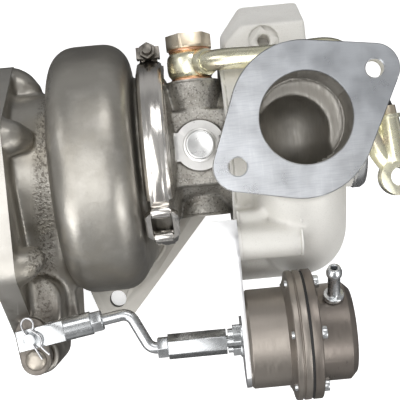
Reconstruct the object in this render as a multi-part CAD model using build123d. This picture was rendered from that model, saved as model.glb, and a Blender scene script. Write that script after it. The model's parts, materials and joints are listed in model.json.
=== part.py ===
from build123d import *
import os
from math import cos, sin, radians, atan2, degrees

# Turbocharger of a 2-litre petrol car, with an internal wastegate and a pressure-driven actuator.
#
# Everything is drawn round the shaft: X runs along the shaft towards the compressor, Y to one side,
# Z up. export() moves each part into the row frame, whose origin is the centre of the turbine inlet
# flange's lower face, so the part stands on that face and +Z is up.
# All sizes are millimetres.

# --- frame ------------------------------------------------------------------------------------
INLET_X, INLET_Y = -50.0, -42.0        # centre of the turbine inlet, seen from the shaft
SHAFT_HEIGHT = 82.0                    # shaft above the turbine inlet flange's lower face

# --- rotor ------------------------------------------------------------------------------------
SHAFT_R = 4.0
SHAFT_TIP_R = 2.5                      # where the compressor wheel sits
TURBINE_TIP_R = 26.0
TURBINE_EXIT_R = 22.5
TURBINE_BACK_X, TURBINE_NOSE_X = -31.6, -58.0
TURBINE_BLADES = 11
WHEEL_BACK_X, WHEEL_NOSE_X = 25.6, 50.0
WHEEL_TIP_R, WHEEL_EYE_R = 28.5, 22.6
WHEEL_BLADES = 6
TIP_GAP = 0.4

# --- bearings ---------------------------------------------------------------------------------
BUSH_OUTER_R, BUSH_INNER_R = 6.80, 4.03
BUSH_HOUSING_R = 6.86
TURBINE_BUSH = (-11.5, -4.0)
COMPRESSOR_BUSH = (1.0, 8.5)
CLIP_T = 0.9

# --- joint between turbine housing and bearing housing ------------------------------------------
JOINT_X = -22.0
BAND_R = 50.5                          # crown of the V-band's retainers
STRAP_T, STRAP_W = 1.1, 9.6

# --- bearing housing --------------------------------------------------------------------------
BANJO_X = 0.5
PORT_FACE_Y, UPPER_PORT_Z = 37.6, 16.0  # faces of the two water ports; height of the piped one
UPPER_FACE_Y = 35.6
PORT_R = 14.6
WATER_BORE_R = 6.3
OIL_FACE_Z = 34.5
OIL_BOSS_R = 13.2
DRAIN_FACE_Z = -46.0

# --- compressor side --------------------------------------------------------------------------
HOUSING_BACK_X = 15.6
BACKPLATE_X = (21.4, 25.0)
SPIGOT_R = 42.0                        # bearing housing flange inside the compressor housing
DIFFUSER_X = 28.4
COVER_INLET_X = 90.4
COVER_INLET_R, COVER_INLET_BORE_R = 29.0, 24.6
SCROLL_MIN_R, SCROLL_MAX_R, SCROLL_END_R = 7.5, 25.0, 23.0
SCROLL_WALL = 4.0
OUTLET_X, OUTLET_Y, OUTLET_Z = 54.0, 6.4, 72.0
OUTLET_BORE_R = 22.8
OUTLET_BOLT_HALF, OUTLET_BOLT_ANGLE = 41.0, 30.3
OUTLET_HOLE_R = 4.5

# --- turbine side -----------------------------------------------------------------------------
VOLUTE_X, VOLUTE_W = -54.4, 43.4
VOLUTE_IN_R, VOLUTE_OUT_R, VOLUTE_END_R = 24.0, 74.5, 51.0
VOLUTE_WALL = 5.0
INLET_BORE_R = 21.0
INLET_PCD_R = 45.0
INLET_HOLE_R = 5.25
INLET_FLANGE_T = 10.0
INLET_FIRST_BOLT = 258.4               # degrees, direction of the first bolt from the inlet's centre
EXIT_FACE_X = -110.0
EXIT_FLANGE_T = 12.0
EXIT_BOLTS = ((45.0, 0.0), (13.0, 45.0), (-54.0, 43.0), (-22.0, -46.0))
EXIT_BLIND_HOLE = (-101.5, -17.0)      # y, z of the tapped hole in the flange's tip
EXIT_HOLE_R = 4.2
EXIT_PORTS = ((0.0, 0.0, 33.0), (-57.0, -17.0, 16.5), (-86.0, -17.0, 8.0))   # y, z, radius

# --- wastegate --------------------------------------------------------------------------------
PIVOT_X, PIVOT_Y = -93.0, -102.6
PIN_X, PIN_Y = -94.2, -91.0
LINK_Z = 42.0                          # plane in which lever, clevis, rod and actuator lie
LEVER_T = 5.0
GATE_SHAFT_R = 4.0
PORT_Y, PORT_Z, PORT_BORE_R = -57.0, -17.0, 10.5
SEAT_X = -80.0
PIN_R, PIN_PLAY = 3.0, 0.3

# --- actuator ---------------------------------------------------------------------------------
ROD_R = 3.0
BALL_X, BALL_R = 39.2, 4.6              # ball end of the rod, held in the piston
CAN_Y = -102.5
CAN_R = 25.4
CAN_FLANGE_R = 33.3
CAN_BACK_X, CAN_FLANGE_X, CAN_SPLIT_X = 16.0, 38.0, 45.4
CAP_FLANGE_END_X, CAP_END_X = 51.4, 70.0
DIAPHRAGM_T = 1.4
PLATE_T = 2.4
ROD_BENDS = ((-34.0, -102.5), (-43.2, -83.3))
BOSS_1, BOSS_2 = (-52.5, 48.0), (-66.0, 6.0)      # y, z of the bracket's bosses
BOSS_R = 9.2
STUD_RADIUS, STUD_ANGLE = 13.0, 65.0     # the actuator's two studs

CLOSE = 0.02                           # room left between parts that fit closely


# --- small helpers ------------------------------------------------------------------------------
def rod_x(r, x0, x1, y=0.0, z=0.0):
    return Pos((x0 + x1) / 2, y, z) * Rot(0, 90, 0) * Cylinder(r, x1 - x0)


def rod_y(r, y0, y1, x=0.0, z=0.0):
    return Pos(x, (y0 + y1) / 2, z) * Rot(90, 0, 0) * Cylinder(r, y1 - y0)


def rod_z(r, z0, z1, x=0.0, y=0.0):
    return Pos(x, y, (z0 + z1) / 2) * Cylinder(r, z1 - z0)


def block(x0, x1, y0, y1, z0, z1):
    return Pos((x0 + x1) / 2, (y0 + y1) / 2, (z0 + z1) / 2) * Box(x1 - x0, y1 - y0, z1 - z0)


def hex_x(across_flats, x0, x1, y=0.0, z=0.0, turn=0.0):
    flat = RegularPolygon(across_flats / 2, 6, major_radius=False, rotation=turn)
    return Pos(0, y, z) * extrude(Plane.YZ.offset(x0) * flat, x1 - x0)


def hex_z(across_flats, z0, z1, x=0.0, y=0.0, turn=0.0):
    flat = RegularPolygon(across_flats / 2, 6, major_radius=False, rotation=turn)
    return Pos(x, y, z0) * extrude(flat, z1 - z0)


def turned(points):
    """Solid of revolution about X from (x, radius) corners."""
    return revolve(make_face(Polyline(*points, close=True)), Axis.X)


def turned_at(points, y, z):
    return Pos(0, y, z) * turned(points)


def hull_of(circles):
    """Convex outline round (x, y, radius) circles."""
    edges = ShapeList()
    for x, y, r in circles:
        edges += (Pos(x, y) * Circle(r)).edges()
    return make_hull(edges)


def around(angle, radius):
    return radius * cos(radians(angle)), radius * sin(radians(angle))


def spin_plane(angle):
    """Plane through the shaft: local x along the shaft, local y outward. Angle 0 points to -Y, 90 up."""
    a = radians(angle)
    return Plane(origin=(0, 0, 0), x_dir=(1, 0, 0), z_dir=(0, -sin(a), -cos(a)))


def solid_of(shape):
    """The one solid of a shape that should be a single piece."""
    solids = sorted(shape.solids(), key=lambda s: -s.volume)
    return solids[0]


# --- rotor ------------------------------------------------------------------------------------
def blade(stations, thickness):
    """Twisted blade lofted through (x, hub radius, tip radius, angle) stations."""
    faces = []
    for x, hub, tip, angle in stations:
        outline = Pos(0, (hub + tip) / 2) * Rectangle(thickness, tip - hub)
        faces.append(Plane.YZ.offset(x) * Rot(0, 0, angle) * outline)
    return loft(faces, ruled=True)


def turbine_shaft_wheel():
    hub = turned([(TURBINE_BACK_X, 0), (TURBINE_BACK_X, 21), (TURBINE_BACK_X - 1.2, 21), (-36, 16),
                  (-40, 11.5), (-47, 8.6), (-57, 7.6), (-63, 6.4), (-64.5, 4.5), (-64.5, 0)])
    stations = [(TURBINE_BACK_X - 0.2, 15.0, TURBINE_TIP_R, 0), (-37, 12.0, TURBINE_TIP_R, 0),
                (-42, 9.0, TURBINE_TIP_R - 0.6, -2), (-47, 7.5, TURBINE_EXIT_R + 1.2, -9),
                (-52, 7.0, TURBINE_EXIT_R + 0.2, -21), (TURBINE_NOSE_X, 6.5, TURBINE_EXIT_R, -38)]
    wheel = hub
    for i in range(TURBINE_BLADES):
        wheel += Rot(X=360 / TURBINE_BLADES * i) * blade(stations, 1.5)
    journal = turned([(TURBINE_BACK_X, 0), (TURBINE_BACK_X, 8.6), (-25.5, 8.6), (-25.5, 7.6),
                      (-23.6, 7.6), (-23.6, 8.6), (-18, 8.6), (-18, SHAFT_R), (11.6, SHAFT_R),
                      (11.6, SHAFT_TIP_R), (57.5, SHAFT_TIP_R), (58, 2.0), (58, 0)])
    return solid_of(wheel + journal)


def compressor_wheel():
    hub = turned([(WHEEL_BACK_X, SHAFT_TIP_R + CLOSE), (WHEEL_BACK_X, 26.5), (26.6, 26.9), (27.4, 24.5),
                  (30, 18.5), (34, 13.5), (40, 9.8), (46, 7.4), (52, 6.2), (52, SHAFT_TIP_R + CLOSE)])
    full = [(26.2, 18.0, WHEEL_TIP_R, 0), (29.5, 14.5, 26.4, 4), (34, 11.5, 24.2, 10),
            (41, 8.0, 22.9, 22), (WHEEL_NOSE_X, 6.0, WHEEL_EYE_R, 48)]
    splitter = [(26.2, 18.0, WHEEL_TIP_R, 0), (29.5, 14.5, 26.4, 4), (34, 11.5, 24.2, 10),
                (41, 8.0, 22.9, 22)]
    wheel = hub
    for i in range(WHEEL_BLADES):
        step = 360 / WHEEL_BLADES
        wheel += Rot(X=step * i) * blade(full, 1.1)
        wheel += Rot(X=step * (i + 0.5)) * blade(splitter, 1.1)
    return solid_of(wheel - rod_x(SHAFT_TIP_R + CLOSE, 20, 60))


def shaft_nut():
    nut = hex_x(9.0, 52.0, 56.4) & turned([(52, 0), (52, 5.2), (55.6, 5.2), (56.4, 4.4), (56.4, 0)])
    return nut - rod_x(SHAFT_TIP_R + CLOSE, 50, 60)


def thrust_collar():
    bore = SHAFT_TIP_R + CLOSE
    return turned([(11.7, bore), (11.7, 8.8), (12.9, 8.8), (12.9, 5.0), (15.5, 5.0), (15.5, bore)])


def oil_flinger():
    bore = SHAFT_TIP_R + CLOSE
    return turned([(15.6, bore), (15.6, 8.8), (17.0, 8.8), (17.0, 6.9), (21.6, 6.9), (21.6, 6.1),
                   (23.2, 6.1), (23.2, 6.9), (25.5, 6.9), (25.5, bore)])


# --- bearing housing ----------------------------------------------------------------------------
def journal_bearing(span):
    x0, x1 = span
    bush = rod_x(BUSH_OUTER_R, x0, x1) - rod_x(BUSH_INNER_R, x0 - 1, x1 + 1)
    for i in range(4):
        hole = rod_z(1.0, BUSH_INNER_R - 1, BUSH_OUTER_R + 1, x=(x0 + x1) / 2)
        bush -= Rot(X=90 * i) * hole
    return bush


def bearing_circlips():
    """Four open wire rings that hold the two floating bushes along the shaft."""
    rings = []
    for x in (TURBINE_BUSH[0] - 0.3 - CLIP_T, TURBINE_BUSH[1] + 0.3,
              COMPRESSOR_BUSH[0] - 0.3 - CLIP_T, COMPRESSOR_BUSH[1] + 0.3):
        ring = rod_x(7.7, x, x + CLIP_T) - rod_x(5.7, x - 1, x + CLIP_T + 1)
        rings.append(ring - block(x - 1, x + CLIP_T + 1, -1.6, 1.6, -9, -3))
    return Compound(rings)


def thrust_bearing():
    """Bronze horseshoe that carries the shaft's end load."""
    pad = rod_x(17.0, 13.0, 15.4) - rod_x(5.2, 12, 17)
    pad -= block(12, 17, -5.2, 5.2, -18, 0)
    for angle in (40, 90, 140):
        y, z = around(angle, 12.5)
        pad -= rod_x(1.1, 12, 17, y, z)
    return pad


def oil_deflector():
    plate = rod_x(16.6, 16.6 + 0.6, 18.0) - rod_x(9.2, 16, 19)
    return plate + block(13.2, 17.6, -4.5, 4.5, -14.6, -13.8)


def bearing_housing():
    """Iron centre casting with oil gallery, water jacket, two water ports and an oil drain."""
    body = turned([(-30, 0), (-30, 34), (-27.2, 36), (JOINT_X + CLOSE, 36), (JOINT_X + CLOSE, 47.4),
                   (JOINT_X + 2.9, 47.4), (JOINT_X + 6.4, 42.2), (-13.6, 39), (-11, 30), (10, 29),
                   (14, 33), (18.4, 37), (18.4, SPIGOT_R - 0.1), (BACKPLATE_X[0] - CLOSE, SPIGOT_R - 0.1),
                   (BACKPLATE_X[0] - CLOSE, 0)])
    body += rod_y(PORT_R, -PORT_FACE_Y, 0, x=0.5)
    body += rod_y(PORT_R, 0, UPPER_FACE_Y, x=BANJO_X, z=UPPER_PORT_Z)
    body += block(-13.5, 15.0, -21, 19, -20, 31.0)
    body += rod_z(OIL_BOSS_R, 10, OIL_FACE_Z, x=1.5)
    body += block(-15.6, 3, -7.5, 7.5, 28, OIL_FACE_Z)
    drain = hull_of(((1.0, 0, 14), (1.0, 22, 8), (1.0, -22, 8)))
    body += Pos(0, 0, DRAIN_FACE_Z) * extrude(drain, 8)
    body += rod_z(13.0, DRAIN_FACE_Z, -18, x=1.0)
    # shaft bore, thrust recess and turbine-side ring bore
    body -= rod_x(BUSH_HOUSING_R, -16, 14)
    for x in (TURBINE_BUSH[0] - 0.3 - CLIP_T, TURBINE_BUSH[1] + 0.3,
              COMPRESSOR_BUSH[0] - 0.3 - CLIP_T, COMPRESSOR_BUSH[1] + 0.3):
        body -= rod_x(7.72, x - CLOSE, x + CLIP_T + CLOSE)
    body -= rod_x(11.0, -2.5, -0.6)
    body -= rod_x(8.75, -40, -15)
    body -= turned([(-21, 8), (-21, 15), (-16, 15), (-16, 8)])
    body -= rod_x(9.6, 11.2, 13.2)
    body -= rod_x(17.05, 13.0 - CLOSE, 30)
    # water jacket round the turbine end, and its two ports
    body -= turned([(-25, 19), (-25, 27), (-12, 27), (-12, 23), (-4, 23), (-4, 19)])
    body -= rod_y(WATER_BORE_R, 17, UPPER_FACE_Y + 1, x=BANJO_X, z=UPPER_PORT_Z)
    body -= rod_y(WATER_BORE_R, -PORT_FACE_Y - 1, -20, x=0.5)
    body -= rod_y(4.5, -24, -18, x=-2.0)
    body -= rod_y(4.5, 14, 20, x=-4.0, z=UPPER_PORT_Z)
    # oil feed and drain
    body -= rod_z(5.4, 20, OIL_FACE_Z + 1, x=1.5)
    body -= rod_z(2.0, 5, 21, x=1.5)
    body -= rod_z(8.0, DRAIN_FACE_Z - 1, -12, x=1.0)
    body -= rod_z(6.0, -14, -5, x=-1.5)
    body -= rod_z(5.2, -19.0, -12, x=12.0) + block(1, 15, -4, 4, -24, -14)
    for y in (22, -22):
        body -= rod_z(3.4, DRAIN_FACE_Z - 1, DRAIN_FACE_Z + 12, x=1.0, y=y)
    return solid_of(body)


def compressor_backplate():
    x0, x1 = BACKPLATE_X
    plate = turned([(x0, 7.0), (x0, SPIGOT_R - 0.1), (x0 + 0.9, SPIGOT_R - 0.1), (x0 + 0.9, SPIGOT_R - 2.3),
                    (x0 + 2.7, SPIGOT_R - 2.3), (x0 + 2.7, SPIGOT_R - 0.1), (x1, SPIGOT_R - 0.1),
                    (x1, 28.8), (x1 - 0.3, 28.8), (x1 - 0.3, 7.0)])
    for angle in (45, 135, 225, 315):
        y, z = around(angle, 24.0)
        plate -= rod_x(3.2, x1 - 1.8, x1 + 1, y, z) + rod_x(1.8, x0 - 1, x1, y, z)
    return plate


def backplate_screws():
    """Four screws that hold the backplate to the bearing housing."""
    x1 = BACKPLATE_X[1]
    screws = []
    for angle in (45, 135, 225, 315):
        y, z = around(angle, 24.0)
        head = rod_x(3.0, x1 - 1.8, x1 - 0.4, y, z) - hex_x(2.6, x1 - 1.2, x1, y, z)
        screws.append(head + rod_x(1.7, BACKPLATE_X[0] + 0.1, x1 - 1.8, y, z))
    return Compound(screws)


def ring_in_groove(x0, x1, inner, outer):
    return rod_x(outer, x0, x1) - rod_x(inner, x0 - 1, x1 + 1)


def heat_shroud():
    """Pressed steel shield between the turbine wheel and the bearing housing."""
    return turned([(-30.7, 10.5), (-30.7, 33.6), (-30.1, 34.4), (-30.1, 10.5)])


def oil_inlet_plug():
    """Turned aluminium transport plug in the oil feed."""
    x = 1.5
    plug = rod_z(7.6, OIL_FACE_Z + 1.2, OIL_FACE_Z + 7.6, x=x) + rod_z(5.3, 27, OIL_FACE_Z + 1.2, x=x)
    dish = Pos(x, 0, OIL_FACE_Z + 8.1) * Cone(1.0, 6.6, 2.4)
    return plug - dish


def oil_plug_washer():
    washer = rod_z(9.0, OIL_FACE_Z, OIL_FACE_Z + 1.2, x=1.5)
    return washer - rod_z(5.35, 30, 40, x=1.5)


# --- V-band clamp -------------------------------------------------------------------------------
LINK_ANGLE = 42.0                      # degrees above -Y, where the strap's link lies
TBOLT_ANGLE = 186.0                    # where the T-bolt closes the strap
LOOP_STEP, TBOLT_STEP = 10.5, 17.0     # degrees from there to the axes of the strap's rolled ends
LOOP_R = BAND_R + 3.4                  # distance of those axes from the shaft


def band_profile():
    rim = [(-8.0, 44.8), (-4.9, BAND_R), (4.9, BAND_R), (8.0, 44.8), (6.9, 44.2), (4.1, BAND_R - 1.6),
           (-4.1, BAND_R - 1.6), (-6.9, 44.2)]
    return [(JOINT_X + x, r) for x, r in rim]


def sector(angle0, angle1, radius):
    """Wedge about the shaft from one angle to the other, as a cutter."""
    steps = [angle0 + (angle1 - angle0) * i / 4 for i in range(5)]
    points = [(0, 0)] + [(-radius * cos(radians(a)), radius * sin(radians(a))) for a in steps]
    return extrude(Plane.YZ.offset(-60) * make_face(Polyline(*points, close=True)), 80)


def vband_retainers():
    """Three V-section retainers that draw the two flanges together."""
    ring = turned(band_profile())
    spans = ((LINK_ANGLE + 16, 134), (138, TBOLT_ANGLE - 17), (TBOLT_ANGLE + 17, LINK_ANGLE + 360 - 16))
    return Compound([solid_of(ring & sector(a, b, 90)) for a, b in spans[:2]]
                    + [solid_of(ring & (sector(spans[2][0], 300, 90) + sector(300, spans[2][1], 90)))])


def at_band(angle, radius):
    return -radius * cos(radians(angle)), radius * sin(radians(angle))


def strap_side(start, end):
    """One half of the strap, with a rolled loop at each end."""
    x0, x1 = JOINT_X - STRAP_W / 2, JOINT_X + STRAP_W / 2
    ring = turned([(x0, BAND_R + 0.05), (x0, BAND_R + STRAP_T), (x1, BAND_R + STRAP_T), (x1, BAND_R + 0.05)])
    middle = (start + end) / 2
    band = ring & (sector(start, middle, 90) + sector(middle, end, 90))
    for angle in (start, end):
        band += rod_x(3.3, x0 + 0.2, x1 - 0.2, *at_band(angle, LOOP_R))
    for angle in (start, end):
        band -= rod_x(1.75, x0 - 1, x1 + 1, *at_band(angle, LOOP_R))
    return solid_of(band - on_chord(rod_x(2.8, -6, chord_length() + 6)))


def vband_strap_upper():
    return strap_side(LINK_ANGLE + LOOP_STEP, TBOLT_ANGLE - TBOLT_STEP)


def vband_strap_lower():
    return strap_side(TBOLT_ANGLE + TBOLT_STEP, LINK_ANGLE + 360 - LOOP_STEP)


def eight_sided(half_w, half_h, cut):
    return make_face(Polyline(
        (-half_w, -half_h + cut), (-half_w + cut, -half_h), (half_w - cut, -half_h),
        (half_w, -half_h + cut), (half_w, half_h - cut), (half_w - cut, half_h),
        (-half_w + cut, half_h), (-half_w, half_h - cut), close=True))


def vband_link():
    """Eight-sided ring that joins the two strap ends; its cross bars lie in the rolled loops."""
    half = LOOP_R * sin(radians(LOOP_STEP))
    y, z = at_band(LINK_ANGLE, LOOP_R * cos(radians(LOOP_STEP)))
    frame = Plane(origin=(JOINT_X, y, z), x_dir=(1, 0, 0),
                  z_dir=(0, -cos(radians(LINK_ANGLE)), sin(radians(LINK_ANGLE))))
    outline = eight_sided(8.7, half + 1.6, 4.0) - eight_sided(5.6, half - 1.6, 1.4)
    ring = extrude(frame * outline, 1.6, both=True)
    for side in (1, -1):
        ring -= rod_x(3.5, JOINT_X - 5.2, JOINT_X + 5.2, *at_band(LINK_ANGLE + side * LOOP_STEP, LOOP_R))
    for side in (1, -1):
        ring += rod_x(1.6, JOINT_X - 5.3, JOINT_X + 5.3, *at_band(LINK_ANGLE + side * LOOP_STEP, LOOP_R))
    return solid_of(ring)


def chord_length():
    return 2 * LOOP_R * sin(radians(TBOLT_STEP))


def on_chord(shape):
    """Places a shape drawn along X from the T-bolt's head; its Z becomes the shaft's direction."""
    y0, z0 = at_band(TBOLT_ANGLE - TBOLT_STEP, LOOP_R)
    y1, z1 = at_band(TBOLT_ANGLE + TBOLT_STEP, LOOP_R)
    head = Plane(origin=(JOINT_X, y1, z1), x_dir=(0, y0 - y1, z0 - z1), z_dir=(1, 0, 0))
    return Location(head) * shape


def vband_tbolt():
    return on_chord(rod_x(2.5, 0, chord_length() + 15.5) + rod_z(1.65, -7, 7))


def vband_trunnion():
    """Saddle on which the nut pulls; its two stub pins lie in the strap's loop."""
    end = chord_length()
    saddle = block(end + 3.6, end + 7.2, -3.2, 3.2, -6.3, 6.3)
    for side in (-1, 1):
        low, high = sorted((side * 4.95, side * 6.3))
        saddle += block(end - 1.6, end + 4.0, -2.2, 2.2, low, high)
        low, high = sorted((side * 3.0, side * 6.0))
        saddle += rod_z(1.65, low, high, x=end)
    return solid_of(on_chord(saddle - rod_x(2.55, end - 5, end + 10)))


def vband_nut():
    start = chord_length() + 7.25
    return on_chord(hex_x(8.0, start, start + 5.0) - rod_x(2.52, start - 1, start + 6))


# --- turbine housing ----------------------------------------------------------------------------
VOLUTE_STEPS = 12


def volute_outer_r(angle):
    return VOLUTE_OUT_R + (VOLUTE_END_R - VOLUTE_OUT_R) * angle / 330.0


def volute(grow):
    """Scroll solid; grow is how far its wall stands from the outer surface, negative inward."""
    faces = []
    for i in range(VOLUTE_STEPS + 1):
        angle = 330.0 * i / VOLUTE_STEPS
        outer = volute_outer_r(angle) + grow
        inner = VOLUTE_IN_R - grow * 0.4
        corner = 14.0 + grow * 0.8
        outline = RectangleRounded(VOLUTE_W + 2 * grow, outer - inner, min(corner, (outer - inner) / 2.2))
        faces.append(spin_plane(angle) * Pos(VOLUTE_X, (outer + inner) / 2) * outline)
    return loft(faces)


def inlet_duct(grow, foot_z, foot_half):
    """Duct from the inlet flange up to the scroll's widest section."""
    outer, inner = VOLUTE_OUT_R + grow, VOLUTE_IN_R - grow * 0.4
    top = Pos(VOLUTE_X, -(outer + inner) / 2, 0) * RectangleRounded(
        VOLUTE_W + 2 * grow, outer - inner, 14.0 + grow * 0.8)
    foot = Pos(INLET_X, INLET_Y, foot_z) * RectangleRounded(
        2 * foot_half, 2 * foot_half, foot_half * 0.97)
    return loft([foot, top])


def inlet_bolts():
    return [(INLET_X + around(INLET_FIRST_BOLT + 120 * i, INLET_PCD_R)[0],
             INLET_Y + around(INLET_FIRST_BOLT + 120 * i, INLET_PCD_R)[1]) for i in range(3)]


def turbine_housing():
    """Iron scroll with a three-bolt inlet flange, a five-bolt outlet flange and the wastegate port."""
    foot = -SHAFT_HEIGHT
    body = volute(0) + inlet_duct(0, foot + 4, 26.0)
    body += rod_x(42.0, -74, JOINT_X - 5.5)
    body += turned([(-40, 0), (-40, 40), (-29.5, 41), (JOINT_X - 6.4, 42.2), (JOINT_X - 2.9, 47.4),
                    (JOINT_X, 47.4), (JOINT_X, 0)])
    body += Pos(0, 0, foot) * extrude(hull_of([(x, y, 14.0) for x, y in inlet_bolts()]), INLET_FLANGE_T)
    # neck and outlet flange
    neck = hull_of([(y, z, r + VOLUTE_WALL) for y, z, r in EXIT_PORTS])
    body += extrude(Plane.YZ.offset(-100) * neck, 25)
    flange = hull_of([(y, z, 10.5) for y, z in EXIT_BOLTS] + [(*EXIT_BLIND_HOLE, 9.0), (0, 0, 44)])
    body += extrude(Plane.YZ.offset(EXIT_FACE_X) * flange, EXIT_FLANGE_T)
    for y, z in EXIT_BOLTS:
        body += rod_x(9.5, EXIT_FACE_X + 4, EXIT_FACE_X + EXIT_FLANGE_T + 3.6, y, z)
    # wastegate shaft boss and the hump that carries it
    body += rod_z(10.0, -20, 30, x=PIVOT_X, y=PIVOT_Y)
    body += Pos(0, 0, -20) * extrude(hull_of(((-93, -74, 12.5), (-93, -84, 11.5))), 42)
    body += Pos(0, 0, -20) * extrude(hull_of(((-93, -84, 10.5), (PIVOT_X, PIVOT_Y, 8.5))), 30)
    # gas spaces
    body -= volute(-VOLUTE_WALL) + inlet_duct(-VOLUTE_WALL, foot + INLET_FLANGE_T, INLET_BORE_R - 0.2)
    body -= rod_z(INLET_BORE_R, foot - 1, foot + INLET_FLANGE_T + 2.0, x=INLET_X, y=INLET_Y)
    wheel = TURBINE_TIP_R + TIP_GAP
    body -= turned([(-46, 0), (-46, 40), (-33.5, 40), (-33.5, 34.6), (-30, 34.6), (-30, 36.1),
                    (JOINT_X + 1, 36.1), (JOINT_X + 1, 0)])
    body += turned([(-46, TURBINE_EXIT_R + 1.2 + TIP_GAP), (-46, 34), (-50, 34), (-50, 23)])
    body -= turned([(-70, 0), (-70, TURBINE_EXIT_R + TIP_GAP + 1.5), (-58, TURBINE_EXIT_R + TIP_GAP),
                    (-51.9, TURBINE_EXIT_R + 0.3 + TIP_GAP), (-47, TURBINE_EXIT_R + 1.3 + TIP_GAP),
                    (-42.9, wheel), (-30, wheel), (-30, 0)])
    body -= turned([(-111, 0), (-111, 33), (-78, 30), (-69.9, TURBINE_EXIT_R + TIP_GAP + 1.4), (-69.9, 0)])
    chamber = hull_of([(y, z, r) for y, z, r in EXIT_PORTS])
    body -= extrude(Plane.YZ.offset(EXIT_FACE_X - 1) * chamber, SEAT_X - EXIT_FACE_X + 1.5)
    body += rod_x(14.0, SEAT_X, -72, PORT_Y, PORT_Z)
    body -= rod_x(PORT_BORE_R, SEAT_X - 3, -60, PORT_Y, PORT_Z)
    # holes
    for x, y in inlet_bolts():
        body -= rod_z(INLET_HOLE_R, foot - 1, foot + INLET_FLANGE_T + 1, x=x, y=y)
        body -= rod_z(10.0, foot + INLET_FLANGE_T, foot + INLET_FLANGE_T + 14, x=x, y=y)
    for y, z in EXIT_BOLTS:
        body -= rod_x(EXIT_HOLE_R, EXIT_FACE_X - 1, EXIT_FACE_X + 17, y, z)
    body -= rod_x(3.4, EXIT_FACE_X - 1, EXIT_FACE_X + 8, *EXIT_BLIND_HOLE)
    arm_room = hull_of(((PIVOT_X, PIVOT_Y, 6.4), (-88, -80, 7), (-98.5, -80, 6.0)))
    body -= Pos(0, 0, PORT_Z - 5.5) * extrude(arm_room, 9.0)
    body -= rod_z(6.5, -9, 31, x=PIVOT_X, y=PIVOT_Y)
    body -= rod_z(GATE_SHAFT_R + 0.3, -26, 0, x=PIVOT_X, y=PIVOT_Y)
    return solid_of(body)


# --- wastegate ----------------------------------------------------------------------------------
def wastegate_bushing():
    bush = rod_z(6.5 - CLOSE, -8.9, 31.6, x=PIVOT_X, y=PIVOT_Y)
    return bush - rod_z(GATE_SHAFT_R + 0.05, -10, 40, x=PIVOT_X, y=PIVOT_Y)


def wastegate_shaft():
    """Shaft with its inner arm, which carries the flapper inside the outlet chamber."""
    shaft = rod_z(GATE_SHAFT_R, -25, LINK_Z + LEVER_T / 2 + 0.6, x=PIVOT_X, y=PIVOT_Y)
    arm = hull_of(((PIVOT_X, PIVOT_Y, 5.4), (SEAT_X - 9.6, PORT_Y, 3.6)))
    shaft += Pos(0, 0, PORT_Z - 4.5) * extrude(arm, 7.0)
    shaft += rod_x(6.0, SEAT_X - 14.1, SEAT_X - 5.9, PORT_Y, PORT_Z)
    shaft -= rod_x(2.9, SEAT_X - 17, SEAT_X - 4, PORT_Y, PORT_Z)
    return solid_of(shaft)


def wastegate_flapper():
    x = SEAT_X
    return turned_at([(x - CLOSE, 0), (x - CLOSE, 13.0), (x - 2.4, 13.4), (x - 3.4, 12.6), (x - 5.8, 5.4),
                      (x - 5.8, 2.85), (x - 15.4, 2.85), (x - 15.4, 0)], PORT_Y, PORT_Z)


def flapper_washer():
    washer = rod_x(5.0, SEAT_X - 15.4, SEAT_X - 14.15, PORT_Y, PORT_Z)
    return washer - rod_x(2.87, SEAT_X - 17, SEAT_X - 12, PORT_Y, PORT_Z)


def wastegate_lever():
    z0 = LINK_Z - LEVER_T / 2
    plate = hull_of(((PIVOT_X, PIVOT_Y, 7.9), (-94.6, -88.6, 8.1)))
    lever = Pos(0, 0, z0) * extrude(plate, LEVER_T)
    lever -= rod_z(PIN_R + PIN_PLAY, z0 - 1, z0 + LEVER_T + 1, x=PIN_X, y=PIN_Y)
    lever += rod_z(5.4, z0 - 5.5, z0, x=PIVOT_X, y=PIVOT_Y)
    return lever - rod_z(GATE_SHAFT_R + CLOSE, z0 - 6, z0 + LEVER_T + 2, x=PIVOT_X, y=PIVOT_Y)


def lever_weld():
    """Round weld that closes the lever on its shaft."""
    z0 = LINK_Z + LEVER_T / 2
    cap = Pos(PIVOT_X, PIVOT_Y, z0) * revolve(
        Plane.XZ * make_face(Polyline((0, 0.65), (4.05, 0.65), (4.05, 0), (5.5, 0), (5.3, 1.2), (4.2, 2.3),
                                      (2.4, 2.9), (0, 2.9), close=True)), Axis.Z)
    return cap


# --- linkage ------------------------------------------------------------------------------------
def clevis_angle():
    return degrees(atan2(ROD_BENDS[1][1] - PIN_Y, ROD_BENDS[1][0] - PIN_X))


def on_clevis(shape):
    """Places a shape drawn along X from the clevis pin."""
    return Pos(PIN_X, PIN_Y, LINK_Z) * Rot(Z=clevis_angle()) * shape


FORK_SLOT = LEVER_T + 0.7
CLIP_Z, CLIP_ANGLE = 8.4, 118.0         # height of the clip above the link plane, lie of its straight leg


def clevis():
    body = rod_x(6.0, 17.0, 31.5) + block(-6.8, 17.5, -5.2, 5.2, -6.4, 6.4)
    body -= block(-8, 12.6, -10, 10, -FORK_SLOT / 2, FORK_SLOT / 2)
    body -= rod_z(PIN_R + CLOSE, -10, 10)
    body -= rod_x(ROD_R + CLOSE, 18.5, 40)
    return on_clevis(body)


def clevis_pin():
    pin = rod_z(PIN_R, -8.6, 10.6) + rod_z(4.6, -8.6, -6.5)
    pin -= Pos(0, 0, CLIP_Z) * Rot(0, 0, CLIP_ANGLE - clevis_angle()) * rod_x(0.8, -6, 6)
    return on_clevis(pin)


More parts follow.
